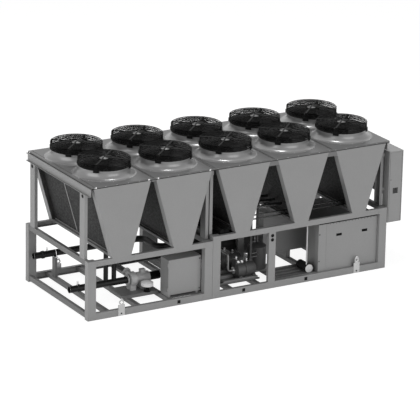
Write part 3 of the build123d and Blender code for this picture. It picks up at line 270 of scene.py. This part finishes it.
def add_block(bm, low, high, bevel):
    """Add a block with rounded edges between two corners."""
    low, high = Vector(low), Vector(high)
    middle, size = (low + high) / 2, high - low
    matrix = Matrix.Translation(middle) @ Matrix.Diagonal((*size, 1.0))
    made = bmesh.ops.create_cube(bm, size=1.0, matrix=matrix)
    edges = list(dict.fromkeys(edge for vert in made["verts"] for edge in vert.link_edges))
    bmesh.ops.bevel(bm, geom=edges, offset=bevel, segments=2, affect="EDGES", profile=0.5)


def add_side_block(bm, side, x_range, depth_range, z_range, bevel):
    """Add a block on a long side, with its depth measured outwards from that side's face."""
    face, out = side
    y_low, y_high = sorted(face + out * depth for depth in depth_range)
    add_block(bm, (x_range[0], y_low, z_range[0]), (x_range[1], y_high, z_range[1]), bevel)


def add_turned(bm, place, normal, profile, segments):
    """Add a body turned about a normal, from (radius, height) pairs that start and end on the axis."""
    matrix = Matrix.Translation(Vector(place)) @ Vector(normal).to_track_quat("Z", "Y").to_matrix().to_4x4()
    rings = []
    for radius, height in profile:
        if radius == 0.0:
            points = [Vector((0.0, 0.0, height))]
        else:
            points = [Vector((radius * math.cos(a), radius * math.sin(a), height)) for a in turns(segments)]
        rings.append([bm.verts.new(matrix @ point) for point in points])
    for first, second in zip(rings, rings[1:]):
        for i in range(segments):
            j = (i + 1) % segments
            if len(first) == 1:
                bm.faces.new((first[0], second[i], second[j]))
            elif len(second) == 1:
                bm.faces.new((first[i], second[0], first[j]))
            else:
                bm.faces.new((first[i], second[i], second[j], first[j]))


def add_bolt(bm, place, normal, radius):
    """Add a hexagon head on a washer."""
    flange, base = radius * 1.35, radius * 0.2
    washer = [(0.0, 0.0), (flange, 0.0), (flange, base), (0.0, base)]
    head = [(0.0, base), (radius, base), (radius, radius * 0.75), (radius * 0.86, radius * 0.9),
            (0.0, radius * 0.9)]
    add_turned(bm, place, normal, washer, segments=14)
    add_turned(bm, place, normal, head, segments=6)


def add_wire(bm, points, radius, sides, closed=False):
    """Sweep a round wire along points."""
    points = [Vector(p) for p in points]
    count = len(points)
    across = None
    rings = []
    for i, point in enumerate(points):
        if closed:
            along = points[(i + 1) % count] - points[i - 1]
        else:
            along = points[min(i + 1, count - 1)] - points[max(i - 1, 0)]
        along.normalize()
        across = along.orthogonal() if across is None else across - along * across.dot(along)
        across.normalize()
        other = along.cross(across)
        rings.append([bm.verts.new(point + radius * (math.cos(a) * across + math.sin(a) * other))
                      for a in turns(sides)])
    pairs = list(zip(rings, rings[1:]))
    if closed:
        pairs.append((rings[-1], rings[0]))
    else:
        bm.faces.new(rings[0][::-1])
        bm.faces.new(rings[-1])
    for first, second in pairs:
        for k in range(sides):
            m = (k + 1) % sides
            bm.faces.new((first[k], first[m], second[m], second[k]))


def rounded_path(points, radius, steps=6):
    """Return points along a polyline whose corners are rounded by quadratic arcs."""
    points = [Vector(p) for p in points]
    path = [points[0]]
    for before, corner, after in zip(points, points[1:], points[2:]):
        start = corner + (before - corner).normalized() * min(radius, (before - corner).length / 2)
        end = corner + (after - corner).normalized() * min(radius, (after - corner).length / 2)
        for i in range(steps + 1):
            t = i / steps
            path.append(start * (1 - t) ** 2 + corner * 2 * t * (1 - t) + end * t ** 2)
    path.append(points[-1])
    return path


def finish_piece(bm, name, material, body="root"):
    """Turn built geometry into a named piece that rides on a body."""
    bmesh.ops.recalc_face_normals(bm, faces=bm.faces)
    mesh = bpy.data.meshes.new(name)
    bm.to_mesh(mesh)
    bm.free()
    mesh.polygons.foreach_set("use_smooth", [True] * len(mesh.polygons))
    mesh.set_sharp_from_angle(angle=math.radians(32))
    mesh.materials.append(material)
    obj = bpy.data.objects.new(name, mesh)
    bpy.context.collection.objects.link(obj)
    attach(obj, body)
    return obj


# Fan guards: closely spaced rings round the side and over the top, tied by upright and radial wires.
# One guard is built, and the others share its mesh.
arm_top = guard_high.z
ring_top = guard_low.z + 0.014
centre = fan_centres[0]
basket_radius = centre.x - guard_low.x - 0.004
wire = 0.0017
shoulder = 0.028
eye_radius = 0.115
short_radius = 0.27
side_rings = 10
top_rings = 24
uprights = 36
ring_steps = 56
bm = bmesh.new()


def add_ring(bm, radius, z, count):
    """Add a ring of guard wire about the first fan's axis."""
    points = [(centre.x + radius * math.cos(a), centre.y + radius * math.sin(a), z) for a in turns(count)]
    add_wire(bm, points, wire, sides=4, closed=True)


lowest = ring_top + 0.006
highest = arm_top - shoulder
for i in range(side_rings):
    add_ring(bm, basket_radius - wire, lowest + (highest - lowest) * i / (side_rings - 1), ring_steps)
for a in (math.radians(30), math.radians(60)):
    radius = basket_radius - wire - shoulder * (1 - math.cos(a))
    add_ring(bm, radius, highest + (shoulder - wire) * math.sin(a), ring_steps)
for i in range(top_rings):
    radius = eye_radius + (basket_radius - shoulder - eye_radius) * i / (top_rings - 1)
    add_ring(bm, radius, arm_top - wire * 1.2, 24 + 2 * i)
reach = basket_radius - 3.0 * wire
roof = arm_top - 3.0 * wire
for i in range(uprights):
    a = math.tau * (i + 0.5) / uprights
    inner = eye_radius if i % 3 == 1 else short_radius
    route = [(centre.x + radius * math.cos(a), centre.y + radius * math.sin(a), z)
             for radius, z in ((reach, ring_top), (reach, roof), (inner, roof))]
    add_wire(bm, rounded_path(route, shoulder, steps=3), wire, sides=4)
first_guard = finish_piece(bm, "guard_wires_01", wire_black)
for number, place in enumerate(fan_centres[1:], start=2):
    copy = bpy.data.objects.new(f"guard_wires_{number:02d}", first_guard.data)
    copy.location = (place.x - centre.x, place.y - centre.y, 0.0)
    bpy.context.collection.objects.link(copy)
    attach(copy, "root")

# Motor cap with its bolts, and a terminal box with three glands beside it, on every fan
motor_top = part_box("fan_motors")[1].z
cap = [(0.0, -0.004), (0.078, -0.004), (0.078, 0.004), (0.070, 0.008), (0.044, 0.010), (0.040, 0.0125),
       (0.0, 0.0125)]
box_gland = [(0.0, 0.0), (0.010, 0.0), (0.010, 0.014), (0.006, 0.020), (0.0, 0.020)]
bm = bmesh.new()
boxes = bmesh.new()
for place in fan_centres:
    add_turned(bm, (place.x, place.y, motor_top), (0, 0, 1), cap, segments=28)
    for a in turns(4):
        spot = (place.x + 0.060 * math.cos(a), place.y + 0.060 * math.sin(a), motor_top + 0.0065)
        add_bolt(bm, spot, (0, 0, 1), radius=0.005)
    middle_x, middle_y = place.x + 0.085, place.y + 0.020
    add_block(boxes, (middle_x - 0.055, middle_y - 0.045, motor_top - 0.070),
              (middle_x + 0.065, middle_y + 0.045, arm_top - 0.001), bevel=0.006)
    for step in (-0.025, 0.0, 0.025):
        spot = (middle_x + 0.064, middle_y + step, motor_top - 0.030)
        add_turned(boxes, spot, (1, 0, 0), box_gland, segments=12)
finish_piece(bm, "motor_caps", cap_grey)
finish_piece(boxes, "motor_terminal_boxes", fan_black)

# Black feet where the four arms of a guard stand on the rim of the cowl
bm = bmesh.new()
for place in fan_centres:
    for degrees in (45, 135, 225, 315):
        before = len(bm.verts)
        add_block(bm, (0.432, -0.050, guard_low.z - 0.030), (0.452, 0.050, guard_low.z + 0.030), bevel=0.004)
        add_block(bm, (0.420, -0.020, guard_low.z + 0.020), (0.438, 0.020, arm_top - 0.012), bevel=0.003)
        bm.verts.ensure_lookup_table()
        turn = Matrix.Translation((place.x, place.y, 0.0)) @ Matrix.Rotation(math.radians(degrees), 4, "Z")
        bmesh.ops.transform(bm, matrix=turn, verts=bm.verts[before:])
finish_piece(bm, "guard_feet", fan_black)

# Cowl rims: bright screws round each foot flange, except where two flanges meet
cowl_screws = 16
screw_circle = 0.5295
flange_joint = 0.03
bm = bmesh.new()
for place in fan_centres:
    for i in range(cowl_screws):
        a = math.tau * (i + 0.5) / cowl_screws
        x, y = place.x + screw_circle * math.cos(a), place.y + screw_circle * math.sin(a)
        if abs(y) > flange_joint:
            add_bolt(bm, (x, y, deck_top + 0.004), (0, 0, 1), radius=0.0035)
finish_piece(bm, "cowl_screws", zinc)

# Deck: black strips under the edges of the plates that paint the shade of the gap there, screws through their
# skirts, and dark joints between them
bm = bmesh.new()
for side in long_sides:
    add_side_block(bm, side, (deck_low.x, deck_high.x), (-0.002, 0.003),
                   (deck_under - 0.005, deck_under + 0.004), fine_edge)
add_block(bm, (deck_low.x - 0.004, y_front + 0.01, deck_under - 0.006),
          (deck_low.x + 0.002, y_back - 0.01, deck_under + 0.006), fine_edge)
finish_piece(bm, "deck_shadow_strips", seal_and_shade_black)
screw_margin = 0.06
bm = bmesh.new()
for i in range(5):
    for step in range(6):
        x = deck_low.x + pitch * i + screw_margin + step * (pitch - 2 * screw_margin) / 5
        for y, out in long_sides:
            add_bolt(bm, (x, y - out * 0.002, deck_top - 0.013), (0, out, 0), radius=0.0045)
finish_piece(bm, "deck_screws", zinc)
joint_half = 0.0025
joint_places = [deck_low.x + 0.060]
for i in range(1, 5):
    edge = module_centres[i] - pitch / 2
    gap = 0.022 if i == 2 else 0.012
    joint_places += [edge - gap, edge + gap]
bm = bmesh.new()
for x in joint_places:
    add_block(bm, (x - joint_half, y_front + 0.012, deck_top - 0.002),
              (x + joint_half, y_back - 0.012, deck_top + 0.0015), bevel=0.0005)
finish_piece(bm, "deck_joints", seal_and_shade_black)

# Screws along the slanted edges of the end panels, and larger bolts at the top corners of the first two
panel_tops = (1.055, 1.055, 1.000, 1.000, 1.000)
panel_feet = (0.350, 0.350, 0.266, 0.266, 0.266)
corner_z = deck_top - 0.0145
bm = bmesh.new()
corner_bolts = bmesh.new()
for i, x in enumerate(module_centres):
    foot = left_rail_top if i < 2 else right_rail_top
    for y, out in long_sides:
        for step in range(6):
            t = (step + 0.35) / 5.7
            z = foot + t * (deck_under - foot)
            half = (panel_feet[i] + t * (panel_tops[i] - panel_feet[i])) / 2 - 0.018
            for side in (-1, 1):
                add_bolt(bm, (x + side * half, y, z), (0, out, 0), radius=0.004)
        if i < 2:
            for side in (-1, 1):
                add_bolt(corner_bolts, (x + side * 0.487, y + 0.002 * out, corner_z), (0, out, 0), radius=0.0105)
add_bolt(corner_bolts, (deck_low.x, y_back - 0.06, corner_z), (-1, 0, 0), radius=0.0105)
finish_piece(bm, "panel_screws", frame_paint)
finish_piece(corner_bolts, "panel_corner_bolts", zinc)

# Bolts that hold rails to posts, on the front and the back
post_inset = 0.168
seam_inset = 0.170
bm = bmesh.new()
for y, out in long_sides:
    for x in (x_left + post_inset, seam - seam_inset, seam + seam_inset, x_right - post_inset):
        top = left_rail_top if x < seam else right_rail_top
        for z in (0.035, 0.083, top - 0.072, top - 0.026):
            add_bolt(bm, (x, y, z), (0, out, 0), radius=0.008)
finish_piece(bm, "rail_bolts", frame_paint)

# Black blocks behind the fork holes, painted shade inside them
fork_centres = (x_left + 1.710, seam + 0.616, seam + 1.845)
fork_half = 0.036
bm = bmesh.new()
for side in long_sides:
    for x in fork_centres:
        add_side_block(bm, side, (x - fork_half, x + fork_half), (-0.0085, -0.0125), (0.023, 0.095), fine_edge)
finish_piece(bm, "fork_hole_shade", seal_and_shade_black)

# Grommets in the holes of the bay posts, and plugs in the holes of the upper posts
grommet = [(0.0, -0.008), (0.019, -0.008), (0.023, 0.003), (0.030, 0.003), (0.030, -0.001), (0.025, -0.012),
           (0.0, -0.012)]
plug = [(0.0, 0.0), (0.030, 0.0), (0.030, 0.002), (0.024, 0.003), (0.0, 0.003)]
bay_low, bay_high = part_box("bay_posts")
upper_low, upper_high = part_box("upper_posts")
bm = bmesh.new()
for y, out in long_sides:
    for z in (right_rail_top - 0.155, right_rail_top - 0.230):
        add_turned(bm, ((bay_low.x + bay_high.x) / 2, y, z), (0, out, 0), grommet, segments=24)
for y in (upper_low.y + 0.070, upper_high.y - 0.070):
    add_turned(bm, (upper_low.x - 0.001, y, deck_under - 0.172), (-1, 0, 0), plug, segments=24)
finish_piece(bm, "post_grommets", seal_and_shade_black)

# Brackets under the deck between the first two modules
middle = (module_centres[0] + module_centres[1]) / 2
bracket_half = 0.036
bm = bmesh.new()
for side in long_sides:
    add_side_block(bm, side, (middle - bracket_half, middle + bracket_half), (-0.030, 0.004),
                   (deck_under - 0.030, deck_under - 0.003), bevel=0.003)
finish_piece(bm, "tie_brackets", inner_shaded_paint)

# Lifting lugs: a small ring and a long link in each, and a black block at its foot that paints the shade of its
# socket
lug_low, lug_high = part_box("lifting_lugs")
lug_places = (lug_low.x + 0.060, lug_high.x - 0.060)
# Height of the middle, half width, half height and wire radius of the ring and of the link
lug_loops = ((0.190, 0.022, 0.024, 0.0055), (0.252, 0.030, 0.043, 0.0058))
bm = bmesh.new()
for x in lug_places:
    for y, out in ((lug_low.y, -1), (lug_high.y, 1)):
        for middle, half_width, half_height, radius in lug_loops:
            loop = [(x + half_width * math.cos(a), y - out * 0.006, middle + half_height * math.sin(a))
                    for a in turns(28)]
            add_wire(bm, loop, radius, sides=8, closed=True)
finish_piece(bm, "lug_rings", zinc)
bm = bmesh.new()
for x in lug_places:
    for side in long_sides:
        add_side_block(bm, side, (x - 0.020, x + 0.020), (-0.003, 0.001), (0.022, 0.062), fine_edge)
finish_piece(bm, "lug_socket_shade", seal_and_shade_black)

# Control box: a black strip beside it that paints the shade in the gap by the post, a shelf under it and two
# quarter-turn locks on its door
box_low, box_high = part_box("control_box")
door_low, door_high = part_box("control_box_door")
shelf_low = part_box("control_box_feet")[0]
lock = [(0.0, 0.0), (0.013, 0.0), (0.013, 0.003), (0.010, 0.006), (0.0, 0.006)]
bm = bmesh.new()
add_block(bm, (box_high.x - 0.002, box_low.y - 0.024, box_low.z - 0.030),
          (box_high.x + 0.0085, box_low.y + 0.030, box_high.z + 0.030), fine_edge)
finish_piece(bm, "control_gap_shade", seal_and_shade_black)
bm = bmesh.new()
add_block(bm, (shelf_low.x - 0.020, box_low.y - 0.030, shelf_low.z + 0.001),
          (box_high.x, box_high.y, shelf_low.z + 0.013), soft_edge)
finish_piece(bm, "control_shelf", inner_shaded_paint)
bm = bmesh.new()
for z in (door_low.z + 0.045, door_high.z - 0.045):
    add_turned(bm, (door_high.x - 0.030, door_low.y, z), (0, -1, 0), lock, segments=20)
finish_piece(bm, "control_door_locks", machine_grey, body="control_door")

# Equipment panels: black recessed handles, a black strip along the top that paints the shade of the gap under
# the rail, a row of rivets and two locks at the left
panel_low, panel_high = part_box("equipment_panels")
wide_left = panel_low.x + 0.156
wide_middle = (wide_left + panel_high.x) / 2
handle_z = 0.730
handle_reach = 0.259
# Parts of a handle, as ranges about the middle of its mouth: the pan, the four sides of its rim, and the grip
handle_parts = (
    ((-0.053, 0.053), (0.011, 0.0139), (-0.0205, 0.0205), fine_edge),
    ((-0.055, 0.055), (-0.002, 0.0135), (0.0185, 0.0225), fine_edge),
    ((-0.055, 0.055), (-0.002, 0.0135), (-0.0225, -0.0185), fine_edge),
    ((-0.055, -0.051), (-0.002, 0.0135), (-0.0225, 0.0225), fine_edge),
    ((0.051, 0.055), (-0.002, 0.0135), (-0.0225, 0.0225), fine_edge),
    ((-0.048, 0.048), (-0.001, 0.004), (0.006, 0.019), soft_edge),
)
bm = bmesh.new()
for x in (wide_middle - handle_reach, wide_middle + handle_reach):
    for (x0, x1), (y0, y1), (z0, z1), bevel in handle_parts:
        add_block(bm, (x + x0, panel_low.y + y0, handle_z + z0),
                  (x + x1, panel_low.y + y1, handle_z + z1), bevel)
finish_piece(bm, "panel_handles", fan_black)
bm = bmesh.new()
add_block(bm, (panel_low.x + 0.004, panel_low.y - 0.003, panel_high.z - 0.018),
          (panel_high.x - 0.004, panel_low.y + 0.002, panel_high.z + 0.002), fine_edge)
finish_piece(bm, "panel_gap_shade", seal_and_shade_black)
rivet_margin = 0.07
bm = bmesh.new()
for i in range(15):
    x = wide_left + rivet_margin + i * (panel_high.x - wide_left - 2 * rivet_margin) / 14
    add_bolt(bm, (x, panel_low.y, panel_high.z - 0.030), (0, -1, 0), radius=0.005)
for z in (0.30, 0.78):
    add_turned(bm, (panel_low.x + 0.020, panel_low.y, z), (0, -1, 0), lock, segments=20)
finish_piece(bm, "panel_rivets", machine_grey)

# Side cabinet: door joint, lock and a small louvre. Main cabinet: two door joints and two locks on its end
# face, and a row of cable glands under it.
side_low, side_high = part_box("side_cabinet")
main_low, main_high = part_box("electrical_cabinet")
door_inset = 0.02
joint_wire = 0.0018
end_face = main_high.x - 0.0019
bm = bmesh.new()
y = side_low.y
x0, x1 = side_low.x + door_inset, side_high.x - door_inset
z0, z1 = side_low.z + door_inset, side_high.z - door_inset
add_wire(bm, [(x0, y, z0), (x1, y, z0), (x1, y, z1), (x0, y, z1)], joint_wire, sides=4, closed=True)
z0, z1 = main_low.z + door_inset, main_high.z - door_inset
for y0, y1 in ((main_low.y + door_inset, 0.0), (0.006, main_high.y - door_inset)):
    loop = [(end_face, y0, z0), (end_face, y1, z0), (end_face, y1, z1), (end_face, y0, z1)]
    add_wire(bm, loop, joint_wire, sides=4, closed=True)
finish_piece(bm, "cabinet_joints", seal_and_shade_black)
bm = bmesh.new()
add_turned(bm, (side_low.x + 0.045, side_low.y, 1.577), (0, -1, 0), lock, segments=20)
for z in (1.42, 1.96):
    add_turned(bm, (end_face - 0.0046, 0.045, z), (1, 0, 0), lock, segments=20)
finish_piece(bm, "cabinet_locks", cap_grey)
bm = bmesh.new()
for i in range(5):
    z = 1.330 + 0.020 * i
    add_block(bm, (side_low.x + 0.090, side_low.y - 0.004, z),
              (side_high.x - 0.090, side_low.y + 0.001, z + 0.015), soft_edge)
finish_piece(bm, "cabinet_louvre", seal_and_shade_black)
cable_gland = [(0.0, 0.0), (0.020, 0.0), (0.020, 0.012), (0.016, 0.012), (0.016, 0.030), (0.011, 0.038),
               (0.0, 0.038)]
bm = bmesh.new()
for i in range(6):
    spot = (main_low.x + 0.10, main_low.y + 0.30 + 0.07 * i, main_low.z)
    add_turned(bm, spot, (0, 0, -1), cable_gland, segments=16)
finish_piece(bm, "cable_glands", seal_and_shade_black)

# Water pipes: U-bolts over the stands, a small valve, a coupling and a bright rim on each
pipe_axes = ((y_front + 0.670, 0.335), (y_back - 0.280, 0.515))
stand_low, stand_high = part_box("pipe_stands")
stand_x = (stand_low.x + stand_high.x) / 2
clamp_radius = 0.061
bm = bmesh.new()
for y, z in pipe_axes:
    arc = [(stand_x, y + clamp_radius * math.cos(math.radians(a)), z + clamp_radius * math.sin(math.radians(a)))
           for a in range(0, 181, 15)]
    ends = [(stand_x, y + clamp_radius, z - 0.075), (stand_x, y - clamp_radius, z - 0.075)]
    add_wire(bm, ends[:1] + arc + ends[1:], radius=0.005, sides=8)
    add_block(bm, (stand_x - 0.028, y - 0.075, z - 0.067), (stand_x + 0.028, y + 0.075, z - 0.059), soft_edge)
finish_piece(bm, "pipe_clamps", zinc)
vent = [(0.0, 0.0), (0.012, 0.0), (0.012, 0.022), (0.018, 0.022), (0.018, 0.034), (0.009, 0.034),
        (0.009, 0.050), (0.020, 0.052), (0.020, 0.058), (0.0, 0.058)]
bm = bmesh.new()
for (y, z), from_end in zip(pipe_axes, (0.16, 0.26)):
    add_turned(bm, (x_left + from_end, y, z + 0.056), (0, 0, 1), vent, segments=20)
finish_piece(bm, "pipe_valves", zinc)
coupling = [(0.0, -0.026), (0.060, -0.026), (0.067, -0.020), (0.067, 0.020), (0.060, 0.026), (0.0, 0.026)]
rim_radius = 0.0545
bm = bmesh.new()
rims = bmesh.new()
for y, z in pipe_axes:
    add_turned(bm, (x_left + 0.180, y, z), (1, 0, 0), coupling, segments=32)
    add_block(bm, (x_left + 0.162, y - 0.084, z - 0.013), (x_left + 0.198, y + 0.084, z + 0.013), bevel=0.004)
    loop = [(x_left + 0.0035, y + rim_radius * math.cos(a), z + rim_radius * math.sin(a)) for a in turns(32)]
    add_wire(rims, loop, radius=0.003, sides=8, closed=True)
finish_piece(bm, "pipe_couplings", pipe_black)
finish_piece(rims, "pipe_rims", zinc)

# A dark sleeve round the stand of the pump's vessel
vessel_low, vessel_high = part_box("pump_vessel")
sleeve = [(0.0, 0.001), (0.058, 0.001), (0.058, 0.008), (0.0435, 0.010), (0.0435, 0.102), (0.0, 0.102)]
spot = ((vessel_low.x + vessel_high.x) / 2, (vessel_low.y + vessel_high.y) / 2, vessel_low.z)
bm = bmesh.new()
add_turned(bm, spot, (0, 0, 1), sleeve, segments=28)
finish_piece(bm, "vessel_sleeve", fan_black)

# Compressors: service valves, glands, and flanged end stubs with bolts
comp_low, comp_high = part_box("compressors")
rows = (y_front + 0.420, y_front + 0.880)
shell_z = comp_low.z + 0.144
shell_top = shell_z + 0.132
valve = [(0.0, -0.002), (0.020, -0.002), (0.020, 0.012), (0.013, 0.014), (0.013, 0.030), (0.019, 0.032),
         (0.019, 0.050), (0.008, 0.058), (0.0, 0.058)]
short_gland = valve[:5] + [(0.0, 0.030)]
stub = [(0.0, 0.0), (0.060, 0.0), (0.060, 0.012), (0.034, 0.014), (0.034, 0.024), (0.0, 0.026)]
bm = bmesh.new()
for x, y, z in ((0.250, rows[0], shell_top), (0.250, rows[1], shell_top),
                (0.050, rows[0], comp_high.z), (0.090, rows[1], comp_high.z)):
    add_turned(bm, (comp_low.x + x, y, z), (0, 0, 1), valve, segments=20)
for x in (0.055, 0.125):
    add_turned(bm, (comp_low.x + x, rows[0] - 0.055, comp_high.z - 0.030), (0, -1, 0), short_gland, segments=16)
for y in rows:
    add_turned(bm, (comp_low.x + 0.002, y, shell_z), (-1, 0, 0), stub, segments=28)
    for a in turns(6):
        spot = (comp_low.x - 0.010, y + 0.049 * math.cos(a), shell_z + 0.049 * math.sin(a))
        add_bolt(bm, spot, (-1, 0, 0), radius=0.006)
finish_piece(bm, "compressor_fittings", zinc)

# Two thin tubes to the receiver, and the suction tube that joins the compressors' end stubs
tank_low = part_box("receiver")[0]
bm = bmesh.new()
for y, z in ((rows[0], shell_z + 0.180), (rows[0] + 0.03, shell_z + 0.230)):
    route = [(comp_high.x - 0.07, y, z), (tank_low.x + 0.03, y, z), (tank_low.x + 0.10, y + 0.10, z)]
    add_wire(bm, rounded_path(route, radius=0.05), radius=0.007, sides=8)
x0, x1 = comp_low.x - 0.110, comp_low.x - 0.020
z0, z1 = shell_z, shell_z + 0.30
route = [(x1, rows[0], z0), (x0, rows[0], z0), (x0, rows[0], z1),
         (x0, rows[1], z1), (x0, rows[1], z0), (x1, rows[1], z0)]
add_wire(bm, rounded_path(route, radius=0.06), radius=0.020, sides=14)
finish_piece(bm, "suction_tubes", tube_grey)

# Insulated pipes between the top rails in the gap beside the seam, with clips, and a tray under the
# compressors. The pipes' places are offsets from the seam and from the top of the right section's rails.
insulated_places = ((0.205, -0.070), (0.300, -0.070), (0.395, -0.070), (0.483, -0.047),
                    (0.2525, 0.010), (0.3475, 0.010))
thin_place = (0.375, 0.058)
pipe_start, pipe_end = y_front + 0.135, y_back - 0.135
clip_margin = 0.30
clip = [(0.0, -0.012), (0.0455, -0.012), (0.0455, 0.012), (0.0, 0.012)]
bm = bmesh.new()
for across, height in insulated_places:
    x, z = seam + across, right_rail_top + height
    add_wire(bm, [(x, pipe_start, z), (x, pipe_end, z)], radius=0.044, sides=20)
    for step in range(5):
        y = y_front + clip_margin + step * (y_back - y_front - 2 * clip_margin) / 4
        add_turned(bm, (x, y, z), (0, 1, 0), clip, segments=20)
x, z = seam + thin_place[0], right_rail_top + thin_place[1]
add_wire(bm, [(x, pipe_start, z), (x, pipe_end, z)], radius=0.026, sides=16)
finish_piece(bm, "insulated_pipes", seal_and_shade_black)
tray_low = (seam + 0.152, comp_low.y - 0.010, 0.0985)
bm = bmesh.new()
add_block(bm, tray_low, (comp_high.x + 0.030, comp_high.y + 0.090, 0.106), soft_edge)
add_block(bm, tray_low, (comp_high.x + 0.030, comp_low.y - 0.004, 0.134), soft_edge)
finish_piece(bm, "compressor_tray", inner_shaded_paint)

# Filter shell: a pale cap on its face, a knob on its side, and an upright tube from it into the cabinet
shell_low, shell_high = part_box("filter_shell")
cabinet_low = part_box("inner_cabinet")[0]
filter_x, filter_z = (shell_low.x + shell_high.x) / 2, (shell_low.z + shell_high.z) / 2
disc = [(0.0, -0.004), (0.073, -0.004), (0.073, 0.002), (0.066, 0.006), (0.016, 0.007), (0.012, 0.012),
        (0.0, 0.012)]
knob = [(0.0, 0.0), (0.014, 0.0), (0.014, 0.020), (0.026, 0.022), (0.026, 0.048), (0.020, 0.052),
        (0.0, 0.052)]
bm = bmesh.new()
add_turned(bm, (filter_x, shell_low.y, filter_z), (0, -1, 0), disc, segments=36)
finish_piece(bm, "filter_cap", pale_paint)
bm = bmesh.new()
add_turned(bm, (shell_high.x - 0.006, shell_low.y + 0.060, filter_z), (1, 0, 0), knob, segments=20)
finish_piece(bm, "filter_knob", pipe_black)
bm = bmesh.new()
tube_x, tube_y, tube_top = filter_x - 0.030, shell_low.y + 0.040, 0.955
route = [(tube_x, tube_y, shell_high.z - 0.02), (tube_x, tube_y, tube_top),
         (tube_x, cabinet_low.y + 0.005, tube_top)]
add_wire(bm, rounded_path(route, radius=0.05), radius=0.0125, sides=12)
finish_piece(bm, "liquid_tube", pale_paint)


# Stage: a white floor and backdrop that keep the object's shadow
def seen_directly(tree):
    """Return a value of 1 for rays that come from the camera, a reflection or a transmission."""
    path = tree.nodes.new("ShaderNodeLightPath")
    total = path.outputs["Is Camera Ray"]
    for name in ("Is Glossy Ray", "Is Transmission Ray"):
        either = tree.nodes.new("ShaderNodeMath")
        either.operation = "MAXIMUM"
        tree.links.new(total, either.inputs[0])
        tree.links.new(path.outputs[name], either.inputs[1])
        total = either.outputs["Value"]
    return total


def show_directly(tree, hidden, shown, target):
    """Show one shader to rays that see the surface directly, and another to those that only light things."""
    choice = tree.nodes.new("ShaderNodeMixShader")
    tree.links.new(seen_directly(tree), choice.inputs[0])
    tree.links.new(hidden.outputs[0], choice.inputs[1])
    tree.links.new(shown.outputs[0], choice.inputs[2])
    tree.links.new(choice.outputs[0], tree.nodes[target].inputs["Surface"])


white = (1.0, 1.0, 1.0, 1.0)
floor_material, floor_tree, floor_shader = new_material("stage_white")
floor_shader.inputs["Base Color"].default_value = (0.75, 0.75, 0.75, 1.0)
floor_shader.inputs["Roughness"].default_value = 0.9
glow = add_node(floor_tree, "ShaderNodeEmission", Color=white, Strength=0.90)
faint = add_node(floor_tree, "ShaderNodeBsdfDiffuse", Color=(0.30, 0.30, 0.30, 1.0))
floor_shown = floor_tree.nodes.new("ShaderNodeAddShader")
floor_tree.links.new(glow.outputs[0], floor_shown.inputs[0])
floor_tree.links.new(faint.outputs[0], floor_shown.inputs[1])
show_directly(floor_tree, floor_shader, floor_shown, "Material Output")
bpy.ops.mesh.primitive_plane_add(size=160.0, location=(0.0, 0.0, -0.002))
floor = bpy.context.object
floor.name = "floor"
floor.data.materials.append(floor_material)

world = bpy.data.worlds.new("studio")
world.use_nodes = True
bpy.context.scene.world = world
sky = world.node_tree.nodes["Background"]
sky.inputs["Color"].default_value = white
sky.inputs["Strength"].default_value = 0.25
backdrop = add_node(world.node_tree, "ShaderNodeBackground", Color=white, Strength=1.0)
show_directly(world.node_tree, sky, backdrop, "World Output")


def area_light(name, place, aim, size, power, depth=None):
    """Add a soft light that points at aim: square, or size wide and depth deep."""
    data = bpy.data.lights.new(name, "AREA")
    data.size = size
    if depth is not None:
        data.shape = "RECTANGLE"
        data.size_y = depth
    data.energy = power
    light = bpy.data.objects.new(name, data)
    light.location = place
    light.rotation_euler = (Vector(aim) - Vector(place)).to_track_quat("-Z", "Y").to_euler()
    bpy.context.collection.objects.link(light)


# Two soft lights, and a lamp right above the deck that draws the bright streak low on each fan cowl
area_light("front_soft", (2.5, -21.0, 5.0), (0.0, 0.0, 1.0), size=18.0, power=2130.0)
area_light("left_soft", (-15.0, -3.0, 6.0), (0.0, 0.0, 1.0), size=12.0, power=950.0)
area_light("top_strip", (0.0, 0.0, 13.3), (0.0, 0.0, 2.3), size=2.6, power=700.0, depth=2.0)

# Camera: a long lens from the front left, at the photograph's angle
camera_azimuth = math.radians(-30.525)
camera_elevation = math.radians(18.469)
camera_roll = math.radians(1.164)
camera_distance = 50.478
camera_focus_px = 2974.1
frame_px = 420.0
sensor_mm = 36.0
camera_aim = Vector((-0.1235, 0.0, 1.25))
slide_right, slide_up = 0.0104, -0.0986
back = Vector((math.sin(camera_azimuth) * math.cos(camera_elevation),
               -math.cos(camera_azimuth) * math.cos(camera_elevation), math.sin(camera_elevation)))
level = Vector((math.cos(camera_azimuth), math.sin(camera_azimuth), 0.0))
above = back.cross(level)
right = math.cos(camera_roll) * level + math.sin(camera_roll) * above
up = math.cos(camera_roll) * above - math.sin(camera_roll) * level
camera_data = bpy.data.cameras.new("camera")
camera_data.sensor_width = sensor_mm
camera_data.lens = camera_focus_px / frame_px * sensor_mm
camera_data.clip_end = 500.0
camera = bpy.data.objects.new("camera", camera_data)
place = camera_aim + right * slide_right + up * slide_up + back * camera_distance
camera.matrix_world = Matrix.Translation(place) @ Matrix((right, up, back)).transposed().to_4x4()
bpy.context.collection.objects.link(camera)
bpy.context.scene.camera = camera
bpy.context.scene.view_settings.view_transform = "Standard"
